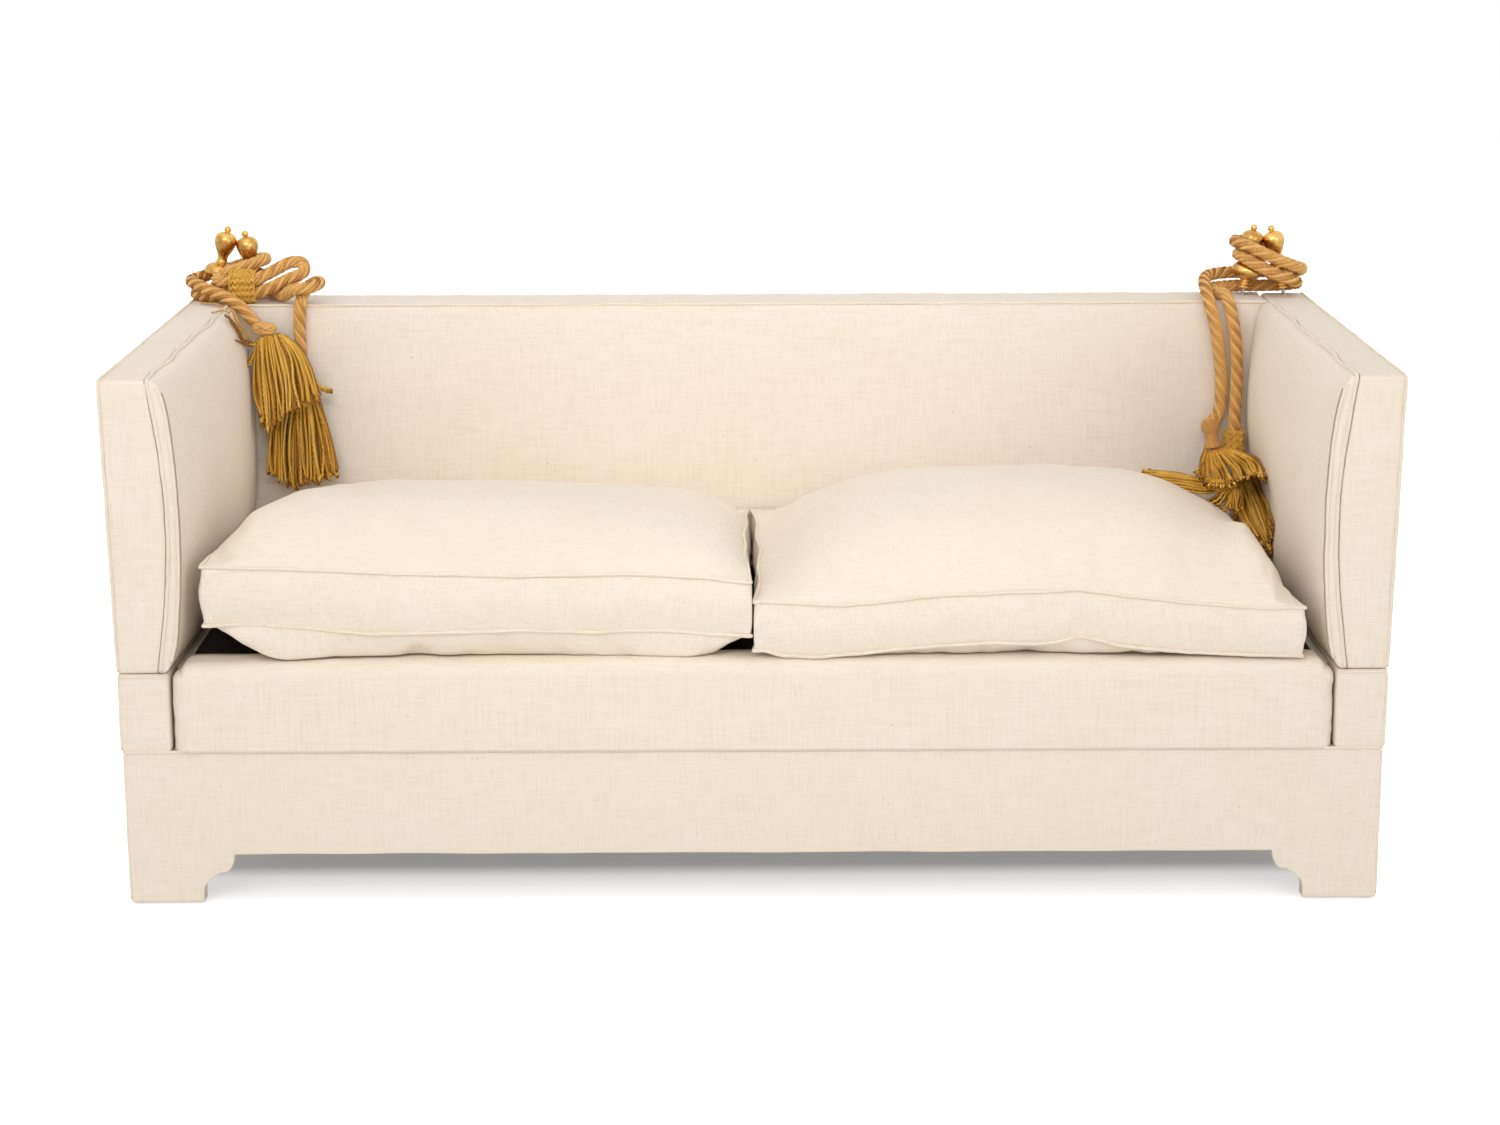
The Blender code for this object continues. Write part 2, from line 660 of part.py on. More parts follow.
def make_arm_pads(linen):
    """The crowned inside-arm pad: full in the middle and sewn down along its top and foot."""
    base, top = SEAM_Z + FIT, TOP_Z - FIT
    start, end = FRONT_Y + FIT, BACK_FRONT - PAD_TO_BACK

    def spot(u, v):
        return start + (end - start) * (u + 1) / 2, base + (top - base) * (v + 1) / 2

    for side, sign in SIDES:

        def against_arm(u, v):
            y, z = spot(u, v)
            return (sign * (arm_inside(z) - arm_bow(z, y) - PAD_SEAT), y, z)

        def against_seat(u, v):
            y, z = spot(u, v)
            full = (PAD_FULL + PAD_CROWN * (1 - u * u)) * sqrt(max(1 - v * v, 0)) ** 0.8
            x = arm_inside(z) - PAD_HEM - full
            return (sign * min(x, arm_inside(z) - arm_bow(z, y) - PAD_HEM), y, z)

        between_surfaces(f"{side}_arm_pad", against_arm, against_seat, PAD_COLUMNS, PAD_ROWS, linen)


def make_cushions(linen):
    """Two loose boxed cushions, crowned above and below, tipped back over the edge roll."""
    half_x, half_y = CUSHION_LENGTH / 2, CUSHION_DEPTH / 2
    middle_y = FRONT_Y + CUSHION_SET_BACK + half_y
    rest = ROLL_TOP + FIT
    shapes = ((LEFT_LIFT, LEFT_CROWN, LEFT_DROP), (RIGHT_LIFT, RIGHT_CROWN, RIGHT_DROP))
    for (side, sign), (lift, crown, lower) in zip(SIDES, shapes):
        middle_x = sign * (CUSHION_GAP + half_x)

        def plan(u, v):
            x = middle_x + u * (half_x - CUSHION_DRAW * swell(v, 2) * abs(u))
            y = middle_y + v * (half_y - CUSHION_DRAW * swell(u, 2) * abs(v))
            return x, y, -lower * ((v + 1) / 2) ** 1.5

        def upper(u, v):
            x, y, drop = plan(u, v)
            rise = crown * (swell(u, 2.6) * swell(v, 2.6)) ** 0.75
            return (x, y, rest + lift + CUSHION_BOXING + rise + drop)

        def under(u, v):
            x, y, drop = plan(u, v)
            return (x, y, rest + lift * (1 - swell(u, 6) * swell(v, 10)) + drop)

        between_surfaces(f"seat_cushion_{side}", upper, under, CUSHION_COLUMNS, CUSHION_ROWS, linen)


def pin_hole(name, place, _):
    """A cutter for the hole that a finial's pin is driven into."""
    radius = PIN_RADIUS + FIT
    profile = [(radius, -PIN_BURIED - FIT), (radius, OVERRUN)]
    return turned(f"{name}_hole", profile, TURNING_SIDES, place, None)


def finial_place(x, lean):
    base = Matrix.Translation((x, REAR_Y - FINIAL_FROM_REAR, TOP_Z))
    return base @ Matrix.Rotation(lean, 4, "Y")


def back_pin(side, sign):
    return finial_place(sign * BACK_FINIAL_X, sign * BACK_FINIAL_LEAN), PIN_SHOWS[f"{side}_back"]


def arm_pin(side, sign):
    return finial_place(sign * ARM_FINIAL_X, -sign * ARM_FINIAL_LEAN), PIN_SHOWS[f"{side}_arm"]


def make_finial(name, place, shows, gilt, steel):
    """A turned and gilded finial on the steel pin that holds it."""
    stand = place @ Matrix.Translation((0, 0, shows))
    finial = turned(f"{name}_finial", FINIAL_PROFILE, TURNING_SIDES, stand, gilt)
    bore = PIN_RADIUS + FIT
    profile = [(bore, -OVERRUN), (bore, PIN_IN_FINIAL + FIT)]
    cut(finial, turned(f"{name}_bore", profile, PIN_SIDES, stand, gilt))
    profile = [(PIN_RADIUS, -PIN_BURIED), (PIN_RADIUS, shows + PIN_IN_FINIAL)]
    turned(f"{name}_pin", profile, PIN_SIDES, place, steel)


def make_finials(gilt, steel):
    for side, sign in SIDES:
        make_finial(f"{side}_back", *back_pin(side, sign), gilt, steel)
        make_finial(f"{side}_arm", *arm_pin(side, sign), gilt, steel)


def leaf_recesses(side, sign, level):
    """Cutters for the mortises of a side's two hinge leaves, below the seam (-1) or above it (1)."""
    made = []
    for end, y in HINGE_PLACES:
        x = sorted((sign * (HALF + OVERRUN), sign * (HALF - HINGE_LEAF - FIT)))
        deep = SEAM_Z + level * (FIT / 2 + HINGE_PLATE + FIT)
        z = sorted((SEAM_Z - level * OVERRUN, deep))
        low, high = (x[0], y - HINGE_LENGTH / 2 - FIT, z[0]), (x[1], y + HINGE_LENGTH / 2 + FIT, z[1])
        made.append(block(f"{side}_{end}_recess_{level}", low, high, None))
    return made


def along_y(x, y, z):
    return Matrix.Translation((x, y, z)) @ Matrix.Rotation(-pi / 2, 4, "X")


def hinge_leaf(name, sign, y, level, knuckles, brass):
    """A leaf let into the seam, with its own knuckles rolled round the pin."""
    near = SEAM_Z + level * FIT / 2
    z = sorted((near, near + level * HINGE_PLATE))
    pitch = HINGE_LENGTH / KNUCKLES
    low, high = y - HINGE_LENGTH / 2, y + HINGE_LENGTH / 2
    inner, edge = sign * (HALF - HINGE_LEAF), sign * HALF
    tongue = sign * (HINGE_X - KNUCKLE_WELD)
    outline = [(inner, high), (inner, low), (edge, low)]
    bm = bmesh.new()
    for i in knuckles:
        start, end = low + pitch * i + FIT / 2, low + pitch * (i + 1) - FIT / 2
        outline += [(edge, start), (tongue, start), (tongue, end), (edge, end)]
        place = along_y(sign * HINGE_X, (start + end) / 2, SEAM_Z)
        bmesh.ops.create_cone(
            bm,
            cap_ends=True,
            segments=KNUCKLE_SIDES,
            radius1=BARREL_RADIUS,
            radius2=BARREL_RADIUS,
            depth=end - start,
            matrix=place,
        )
    outline.append((edge, high))
    leaf = extrude_outline(name, outline, 2, z[0], z[1], brass)
    barrels = add(f"{name}_barrels", mesh_from(name, bm), brass)
    cut(leaf, barrels)
    leaf.modifiers[-1].operation = "UNION"
    radius = HINGE_PIN_RADIUS + PIN_PLAY
    reach = HINGE_LENGTH / 2 + OVERRUN
    place = along_y(sign * HINGE_X, y, SEAM_Z)
    cut(leaf, turned(f"{name}_bore", [(radius, -reach), (radius, reach)], KNUCKLE_SIDES, place, brass))


def make_hinges(brass):
    half = HINGE_LENGTH / 2 + FIT
    profile = [
        (HINGE_HEAD, -half - HINGE_HEAD_THICK),
        (HINGE_HEAD, -half),
        (HINGE_PIN_RADIUS, -half),
        (HINGE_PIN_RADIUS, half),
        (HINGE_HEAD, half),
        (HINGE_HEAD, half + HINGE_HEAD_THICK),
    ]
    for side, sign in SIDES:
        for end, y in HINGE_PLACES:
            name = f"{side}_{end}_hinge"
            hinge_leaf(f"{name}_base_leaf", sign, y, -1, range(0, KNUCKLES, 2), brass)
            hinge_leaf(f"{name}_arm_leaf", sign, y, 1, range(1, KNUCKLES, 2), brass)
            turned(f"{name}_pin", profile, KNUCKLE_SIDES, along_y(sign * HINGE_X, y, SEAM_Z), brass)


def smooth_curve(route):
    """Closely spaced points on a smooth curve through the route, and where each route point falls."""
    points = [Vector(p) for p in route]
    points = [points[0] * 2 - points[1]] + points + [points[-1] * 2 - points[-2]]
    found, stops = [], []
    for a, b, c, d in zip(points, points[1:], points[2:], points[3:]):
        stops.append(len(found))
        knots = [0.0]
        for near, far in ((a, b), (b, c), (c, d)):
            knots.append(knots[-1] + sqrt((far - near).length))
        count = max(int((c - b).length / CURVE_STEP), 1)
        for i in range(count):
            t = knots[1] + (knots[2] - knots[1]) * (i / count)
            row = [a, b, c, d]
            for level in range(1, 4):
                row = [
                    row[k].lerp(row[k + 1], span_share(t, knots, k, level))
                    for k in range(len(row) - 1)
                ]
            found.append(row[0])
    stops.append(len(found))
    found.append(points[-2])
    return found, stops


def span_share(t, knots, k, level):
    """The blending share of a centripetal Catmull-Rom curve at one of its three levels."""
    spans = {1: (knots[k], knots[k + 1]), 2: (knots[k], knots[min(k + 2, 3)]), 3: (knots[1], knots[2])}
    low, high = spans[level]
    return (t - low) / (high - low)


def rope_length(name, curve, first, last, colour):
    """One length of rope as a tube, straight for one diameter at each end."""
    points = curve[first : last + 1]
    travelled = [0.0]
    for a, b in zip(points, points[1:]):
        travelled.append(travelled[-1] + (b - a).length)
    whole = travelled[-1]
    end = 2 * ROPE_RADIUS
    count = round((whole - 4 * end) / ROPE_STEP)
    line, i = [], 0
    for k in range(count + 1):
        distance = 2 * end + (whole - 4 * end) * k / count
        while travelled[i + 1] < distance:
            i += 1
        share = (distance - travelled[i]) / (travelled[i + 1] - travelled[i])
        line.append(points[i].lerp(points[i + 1], share))
    start, finish = way_along(curve, first), -way_along(curve, last)
    line = [points[0] + start * ROPE_BUTT / 2, points[0] + start * end] + line
    line += [points[-1] + finish * end, points[-1] + finish * ROPE_BUTT / 2]
    data = bpy.data.curves.new(name, "CURVE")
    data.dimensions = "3D"
    data.bevel_depth = ROPE_RADIUS
    data.bevel_resolution = 1 if "winding" in name else 2
    data.use_fill_caps = True
    spline = data.splines.new("POLY")
    spline.points.add(len(line) - 1)
    for point, where in zip(spline.points, line):
        point.co = (*where, 1.0)
    add(name, data, colour)
    return whole


def way_along(curve, at):
    """The direction of the rope at one of the curve's points."""
    return (curve[min(at + 1, len(curve) - 1)] - curve[max(at - 1, 0)]).normalized()


def least_gap(curve):
    """The least space between the rope and itself, leaving out its own bends."""
    reach = round(ROPE_RADIUS * pi / CURVE_STEP) + 1
    least = min((a - b).length for i, a in enumerate(curve) for b in curve[i + reach :])
    return least - ROPE_RADIUS * 2


def make_ropes(colour):
    """Each side's rope is one line: a tail, its turns round both finials, and the other tail."""
    ends = {}
    for side, route, first, last in ROPES:
        curve, stops = smooth_curve(route)
        cuts = [0, stops[first], stops[last], len(curve) - 1]
        names = (f"{side}_rope_tail_outer", f"{side}_rope_winding", f"{side}_rope_tail_inner")
        for name, start, end in zip(names, cuts, cuts[1:]):
            length = rope_length(name, curve, start, end, colour)
            print(f"{name}: {length:.3f} m")
        print(f"{side} rope: least gap to itself {least_gap(curve) * 1000:.2f} mm")
        ends[f"{side}_tassel_outer"] = (curve[0], -way_along(curve, 0))
        ends[f"{side}_tassel_inner"] = (curve[-1], way_along(curve, len(curve) - 1))
    return ends


def loft(name, rings, colour):
    """A closed solid through rings, each a centre, a half width and a half depth."""
    bm = bmesh.new()
    made = []
    for centre, wide, deep in rings:
        turns = [2 * pi * i / TASSEL_SIDES for i in range(TASSEL_SIDES)]
        made.append([bm.verts.new(centre + wide * cos(t) + deep * sin(t)) for t in turns])
    for near, far in zip(made, made[1:]):
        for i in range(TASSEL_SIDES):
            j = (i + 1) % TASSEL_SIDES
            bm.faces.new((near[i], near[j], far[j], far[i]))
    bm.faces.new(made[0])
    bm.faces.new(made[-1])
    built = add(name, mesh_from(name, bm), colour)
    smooth(built)


def make_tassels(ends, colour):
    """A bound head in line with the rope's end, and a skirt that fans out flat down to its hem."""
    for name, reach, hem, spread, tilt in TASSELS:
        tip, way = ends[name]
        top, waist, hem = tip + way * ROPE_BUTT, tip + way * reach, Vector(hem)
        rings = []
        for share, width in TASSEL_HEAD_SHARES + TASSEL_SKIRT_SHARES:
            centre = top * (1 - share) ** 2 + waist * 2 * share * (1 - share) + hem * share**2
            run = (waist - top) * 2 * (1 - share) + (hem - waist) * 2 * share
            across = Vector((cos(tilt), 0, sin(tilt)))
            wide = (across - run.normalized() * across.dot(run.normalized())).normalized()
            deep = run.normalized().cross(wide)
            if (share, width) in TASSEL_HEAD_SHARES:
                half = deep_half = TASSEL_HEAD_RADIUS * width
            else:
                half = spread * width
                deep_half = max(half * TASSEL_FLAT_SHARE, TASSEL_HEAD_RADIUS * width)
            rings.append((centre, wide * half, deep * deep_half))
        loft(name, rings, colour)


def make_slides(colour):
    """A braided band round two strands of the rope, its hole long enough for both."""
    for name, middle, along, beside, pitch, play in SLIDES:
        middle, along, beside = Vector(middle), Vector(along).normalized(), Vector(beside)
        beside = (beside - along * beside.dot(along)).normalized()
        third = along.cross(beside)
        bm = bmesh.new()

        def ring(share, radius):
            points = []
            for i in range(SLIDE_SIDES):
                turn = 2 * pi * (i + 1 / 2) / SLIDE_SIDES
                shift = pitch / 2 if cos(turn) > 0 else -pitch / 2
                spot = beside * (shift + radius * cos(turn)) + third * radius * sin(turn)
                points.append(bm.verts.new(middle + along * SLIDE_LENGTH * share / 2 + spot))
            return points

        inner = ROPE_RADIUS + play
        outer = inner + SLIDE_WALL
        outside = [ring(s, outer - SLIDE_SWELL * s * s) for s in (-1, -1 / 2, 0, 1 / 2, 1)]
        rings = outside + [ring(s, inner) for s in (1, -1)]
        for near, far in zip(rings, rings[1:] + rings[:1]):
            for i in range(SLIDE_SIDES):
                j = (i + 1) % SLIDE_SIDES
                bm.faces.new((near[i], near[j], far[j], far[i]))
        smooth(add(name, mesh_from(name, bm), colour))


def hang_arms():
    """Each drop arm, with all that it carries, turns about its line of hinge pins."""
    for side, sign in SIDES:
        axis = bpy.data.objects.new(f"{side}_arm_axis", None)
        axis.location = (sign * HINGE_X, 0, SEAM_Z)
        bpy.context.scene.collection.objects.link(axis)
        carried = [f"{side}_arm_{piece}" for piece in ("cover", "frame", "pad", "finial", "pin")]
        carried += [f"{side}_{end}_hinge_arm_leaf" for end, _ in HINGE_PLACES]
        for name in carried:
            piece = bpy.data.objects[name]
            piece.parent = axis
            piece.matrix_parent_inverse = Matrix.Translation(axis.location).inverted()


def main():
    clear_scene()
    linen = material("natural_linen", (0.80, 0.70, 0.57), 0.9)
    beech = material("beech", (0.55, 0.38, 0.22), 0.6)
    hessian = material("dark_hessian", (0.10, 0.08, 0.06), 0.95)
    jute = material("jute_webbing", (0.35, 0.25, 0.14), 0.9)
    dark = material("dark_glide", (0.05, 0.05, 0.05), 0.5)
    gilt = material("gilded_brass", (0.60, 0.36, 0.10), 0.3, 1.0)
    steel = material("bright_steel", (0.6, 0.6, 0.6), 0.35, 1.0)
    brass = material("hinge_brass", (0.55, 0.42, 0.20), 0.4, 1.0)
    rope = material("amber_rope", (0.55, 0.29, 0.10), 0.7)
    braid = material("gold_braid", (0.60, 0.40, 0.10), 0.6)
    make_plinth(linen)
    make_blocks_and_glides(beech, dark)
    make_side_rails(linen)
    make_edge_roll(linen)
    make_deck(hessian, jute)
    make_back(linen, beech)
    make_arms(linen, beech)
    make_arm_pads(linen)
    make_cushions(linen)
    make_finials(gilt, steel)
    make_hinges(brass)
    ends = make_ropes(rope)
    make_slides(braid)
    make_tassels(ends, braid)
    hang_arms()


main()
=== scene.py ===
"""Looks of a knole sofa in natural linen, with gilded finials and twisted gold ropes."""

from math import cos, pi, radians, sin, sqrt, tan

import bmesh
import bpy
import numpy as np
from mathutils import Matrix, Vector, noise


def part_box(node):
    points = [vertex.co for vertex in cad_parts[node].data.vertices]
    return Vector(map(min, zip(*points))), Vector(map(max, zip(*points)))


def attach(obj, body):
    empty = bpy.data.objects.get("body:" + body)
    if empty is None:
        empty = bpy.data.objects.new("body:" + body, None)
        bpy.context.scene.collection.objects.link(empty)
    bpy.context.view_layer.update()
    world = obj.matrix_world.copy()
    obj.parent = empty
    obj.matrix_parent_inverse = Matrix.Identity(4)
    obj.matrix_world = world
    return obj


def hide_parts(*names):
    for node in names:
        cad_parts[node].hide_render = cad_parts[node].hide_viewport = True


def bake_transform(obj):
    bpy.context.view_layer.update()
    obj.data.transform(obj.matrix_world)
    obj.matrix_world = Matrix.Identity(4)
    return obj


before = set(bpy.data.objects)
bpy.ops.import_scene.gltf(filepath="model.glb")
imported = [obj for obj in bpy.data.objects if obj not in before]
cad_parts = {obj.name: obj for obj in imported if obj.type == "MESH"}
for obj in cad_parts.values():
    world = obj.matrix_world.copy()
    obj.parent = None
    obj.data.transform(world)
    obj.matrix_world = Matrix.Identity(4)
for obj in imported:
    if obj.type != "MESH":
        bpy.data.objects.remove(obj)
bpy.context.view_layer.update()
NOISE_SEED = 7  # keeps the unevenness of the cloth the same in every run
noise.seed_set(NOISE_SEED)
BASE, LEFT_ARM, RIGHT_ARM = "base", "left_arm", "right_arm"

# The sofa's sizes, in metres, as the frame has them
HALF = 0.985
FRONT_Y, REAR_Y = -0.445, 0.445
SEAM_Z, TOP_Z, PLINTH_Z = 0.3763, 0.8374, 0.2494
ARM_LEAN = radians(1.1)
ARM_BOTTOM_WIDTH, ARM_TOP_WIDTH, ARM_BOW = 0.0655, 0.0750, 0.0225
PAD_FULL, PAD_CROWN, PAD_HEM, PAD_TO_BACK = 0.0365, 0.0150, 0.003, 0.004
BACK_THICK, BACK_CROWN = 0.110, 0.014
BACK_FRONT = REAR_Y - BACK_THICK
RAIL_INNER = 0.907
ROLL_TOP = 0.396
FIT = 0.0003
ARM_OUT = (TOP_Z - SEAM_Z) * tan(ARM_LEAN)
BACK_HALF = HALF + ARM_OUT - ARM_TOP_WIDTH - 0.003
SIDES = (("left", -1, LEFT_ARM), ("right", 1, RIGHT_ARM))

# The camera that the photograph's perspective gives
LENS, SENSOR_WIDTH = 73.2, 36
CAMERA_PLACE = (-0.0207, -5.0092, 1.6228)
CAMERA_TURN = (1.340095, 0.003115, -0.004332)


def show(name, data):
    """Puts an object with this data in the scene."""
    made = bpy.data.objects.new(name, data)
    bpy.context.scene.collection.objects.link(made)
    return made


def make_camera():
    data = bpy.data.cameras.new("camera")
    data.lens, data.sensor_width = LENS, SENSOR_WIDTH
    camera = show("camera", data)
    camera.location, camera.rotation_euler = CAMERA_PLACE, CAMERA_TURN
    bpy.context.scene.camera = camera


make_camera()


# Mesh building
def tube_faces(rings, sides):
    """The faces of a tube whose points are numbered ring after ring."""
    index = np.arange(rings * sides).reshape(rings, sides)
    after = np.roll(index, -1, axis=1)
    return np.stack([index[:-1], after[:-1], after[1:], index[1:]], axis=-1).reshape(-1, 4)


def sheet_faces(rows, columns):
    """The faces of a sheet whose points are numbered row after row."""
    index = np.arange(rows * columns).reshape(rows, columns)
    return np.stack([index[:-1, :-1], index[1:, :-1], index[1:, 1:], index[:-1, 1:]], -1).reshape(-1, 4)


class Builder:
    """Collects faces of four corners, with their map and material, and makes one mesh of them."""

    def __init__(self):
        self.points, self.faces, self.uvs, self.slots, self.count = [], [], [], [], 0

    def add(self, points, faces, uvs=None, slot=0):
        self.points.append(points)
        self.faces.append(faces + self.count)
        self.uvs.append(np.zeros((len(faces), 4, 2)) if uvs is None else uvs)
        self.slots.append(np.full(len(faces), slot))
        self.count += len(points)

    def sweep(self, path, e1, e2, radii, slot=0, along=None, caps=True):
        """A tube of the given radii (rings by sides) along a path with its two cross directions."""
        rings, sides = radii.shape
        turns = 2 * pi * np.arange(sides) / sides
        ring = e1[:, None] * np.cos(turns)[None, :, None] + e2[:, None] * np.sin(turns)[None, :, None]
        points = path[:, None] + radii[..., None] * ring
        if along is None:
            along = travelled(path)
        if caps:
            ends = [path[k] + (points[k] - path[k]) * CAP_HOLE for k in (0, -1)]
            points = np.concatenate([ends[0][None], points, ends[1][None]])
            along = np.concatenate([along[:1], along, along[-1:]])
            rings += 2
        u0 = np.broadcast_to(np.arange(sides) / sides, (rings - 1, sides))
        u1 = u0 + 1 / sides
        v0 = np.broadcast_to(along[:-1, None], (rings - 1, sides))
        v1 = np.broadcast_to(along[1:, None], (rings - 1, sides))
        uvs = np.stack([np.stack(p, -1) for p in ((u0, v0), (u1, v0), (u1, v1), (u0, v1))], axis=2)
        self.add(points.reshape(-1, 3), tube_faces(rings, sides), uvs.reshape(-1, 4, 2), slot)

    def tube(self, path, radius, sides, slot=0, caps=True):
        """A round tube along a path, of one radius or of one for each point."""
        path = np.array(path, float)
        radii = np.zeros((len(path), sides)) + np.reshape(radius, (-1, 1))
        self.sweep(path, *carried_frames(path), radii, slot, caps=caps)

    def build(self, name, materials):
        points, faces = np.concatenate(self.points), np.concatenate(self.faces)
        mesh = bpy.data.meshes.new(name)
        mesh.vertices.add(len(points))
        mesh.vertices.foreach_set("co", points.astype(np.float32).ravel())
        mesh.loops.add(faces.size)
        mesh.loops.foreach_set("vertex_index", faces.astype(np.int32).ravel())
        mesh.polygons.add(len(faces))
        mesh.polygons.foreach_set("loop_start", np.arange(0, faces.size, 4, dtype=np.int32))
        mesh.polygons.foreach_set("material_index", np.concatenate(self.slots).astype(np.int32))
        mesh.update(calc_edges=True)
        layer = mesh.uv_layers.new(name="UVMap")
        layer.data.foreach_set("uv", np.concatenate(self.uvs).astype(np.float32).ravel())
        mesh.validate()
        for material in materials:
            mesh.materials.append(material)
        mesh.shade_smooth()
        return show(name, mesh)


CAP_HOLE = 0.02  # a tube's end closes to this share of its radius


def travelled(path):
    return np.concatenate([[0.0], np.cumsum(np.linalg.norm(np.diff(path, axis=0), axis=1))])


def unit(vectors):
    return vectors / np.maximum(np.linalg.norm(vectors, axis=-1, keepdims=True), 1e-12)


def tangents(path):
    return unit(np.gradient(path, axis=0))


def carried_frames(path, first=(0.13, 0.31, 0.94)):
    """Two cross directions at each point of a path, carried along it without twist."""
    way = tangents(path)
    side = np.array(first, float)
    found = np.empty_like(path)
    for i, t in enumerate(way):
        side = side - t * (side @ t)
        side /= np.linalg.norm(side)
        found[i] = side
    return found, np.cross(way, found)


def resampled(path, step):
    along = travelled(path)
    count = max(int(round(along[-1] / step)), 2)
    where = np.linspace(0, along[-1], count + 1)
    return np.stack([np.interp(where, along, path[:, k]) for k in range(3)], axis=1)


def ease(share):
    """A share that leaves 0 and reaches 1 gently."""
    share = np.clip(share, 0, 1)
    return share * share * (3 - 2 * share)


# Materials
class Graph:
    """The nodes of a material or of the world, with a short form for each kind that repeats."""

    def __init__(self, tree):
        self.nodes, self.links = tree.nodes, tree.links

    def set(self, socket, value):
        if isinstance(value, bpy.types.NodeSocket):
            self.links.new(value, socket)
        elif socket.type == "RGBA":
            socket.default_value = (*value, 1.0)
        else:
            socket.default_value = value

    def add(self, kind, sockets=(), **settings):
        """A new node, with its settings made and its sockets set or linked. Gives back its outputs."""
        made = self.nodes.new(kind)
        for name, value in settings.items():
            setattr(made, name, value)
        for key, value in dict(sockets).items():
            self.set(made.inputs[key], value)
        return made.outputs

    def math(self, operation, first, second=0.0):
        return self.add("ShaderNodeMath", {0: first, 1: second}, operation=operation)[0]

    def total(self, values):
        found = values[0]
        for value in values[1:]:
            found = self.math("ADD", found, value)
        return found

    def wave(self, *parts):
        """The sine of a sum of values, each given with the number that it is multiplied by."""
        return self.math("SINE", self.total([self.math("MULTIPLY", value, by) for value, by in parts]))

    def half_up(self, value):
        """Brings a sine between 0 and 1."""
        return self.math("ADD", self.math("MULTIPLY", value, 0.5), 0.5)

    def mix(self, factor, first, second, blend="MIX"):
        sockets = {0: factor, 6: first, 7: second}
        return self.add("ShaderNodeMix", sockets, data_type="RGBA", blend_type=blend)[2]

    def tint(self, colour, by):
        return self.mix(1.0, colour, by, "MULTIPLY")

    def noise(self, where, scale, detail, rough):
        sockets = {"Vector": where, "Scale": scale, "Detail": detail, "Roughness": rough}
        return self.add("ShaderNodeTexNoise", sockets)["Fac"]

    def stretched_noise(self, where, scale, detail, rough):
        where = self.add("ShaderNodeMapping", {"Vector": where, "Scale": scale})[0]
        return self.noise(where, 1.0, detail, rough)

    def ramp(self, value, stops):
        made = self.nodes.new("ShaderNodeValToRGB")
        for i, (place, colour) in enumerate(stops):
            if i < 2:
                stop = made.color_ramp.elements[i]
                stop.position = place
            else:
                stop = made.color_ramp.elements.new(place)
            stop.color = (*colour, 1.0)
        self.links.new(value, made.inputs[0])
        return made.outputs[0]


class Surface(Graph):
    """The graph of a new material, with its main shader."""

    def __init__(self, name):
        self.material = bpy.data.materials.new(name)
        self.material.use_nodes = True
        super().__init__(self.material.node_tree)
        self.shader = self.nodes["Principled BSDF"]
        self.place = self.add("ShaderNodeTexCoord")

    def split(self, vector):
        return self.add("ShaderNodeSeparateXYZ", {0: vector})

    def bump(self, height, strength, distance):
        sockets = {"Height": height, "Strength": strength, "Distance": distance}
        self.set(self.shader.inputs["Normal"], self.add("ShaderNodeBump", sockets)[0])

    def finish(self, looks, tone=None):
        for name, value in looks.items():
            self.set(self.shader.inputs[name], value)
        if tone:
            self.material.diffuse_color = (*tone, 1.0)
        return self.material


WHITE = (1.0, 1.0, 1.0)
LINEN = (0.830, 0.738, 0.615)
SLUB_SCALES = ((22, 420, 420), (420, 22, 420), (420, 420, 22))
THREAD_PITCH = 0.0017


def linen_material(name, tone=LINEN, soil=0.5):
    """A plain weave of slubby flax yarns running along all three axes, told apart by the way a face looks."""
    made = Surface(name)
    where = made.place["Object"]
    facing = made.split(made.place["Normal"])
    squares = [made.math("MULTIPLY", facing[axis], facing[axis]) for axis in range(3)]
    yarns = []
    for square, scale in zip(squares, SLUB_SCALES):
        slub = made.stretched_noise(where, scale, 2.5, 0.6)
        yarns.append(made.math("MULTIPLY", slub, made.math("SUBTRACT", 1.0, square)))
    pattern = made.math("MULTIPLY", made.total(yarns), 0.5)
    split = made.split(where)
    waves = [made.wave((split[axis], 2 * pi / THREAD_PITCH)) for axis in range(3)]
    weave = []
    for axis in range(3):
        pair = made.math("MULTIPLY", waves[axis - 2], waves[axis - 1])
        weave.append(made.math("MULTIPLY", pair, squares[axis]))
    dark = tuple(c * f for c, f in zip(tone, (0.945, 0.932, 0.910)))
    light = tuple(min(c * f, 0.95) for c, f in zip(tone, (1.022, 1.026, 1.034)))
    colour = made.ramp(pattern, ((0.40, dark), (0.50, tone), (0.60, light)))
    warm = made.ramp(made.noise(where, 5.0, 4.0, 0.55), ((0.40, WHITE), (0.70, (0.985, 0.968, 0.935))))
    colour = made.mix(soil, colour, made.tint(colour, warm))
    seeds = made.ramp(made.noise(where, 170.0, 1.0, 0.4), ((0.765, WHITE), (0.85, (0.78, 0.70, 0.60))))
    made.bump(made.math("ADD", pattern, made.math("MULTIPLY", made.total(weave), 0.10)), 0.40, 0.0007)
    looks = {"Base Color": made.tint(colour, seeds), "Roughness": 0.88, "Specular IOR Level": 0.2}
    return made.finish({**looks, "Sheen Weight": 0.15, "Sheen Roughness": 0.5}, tone)


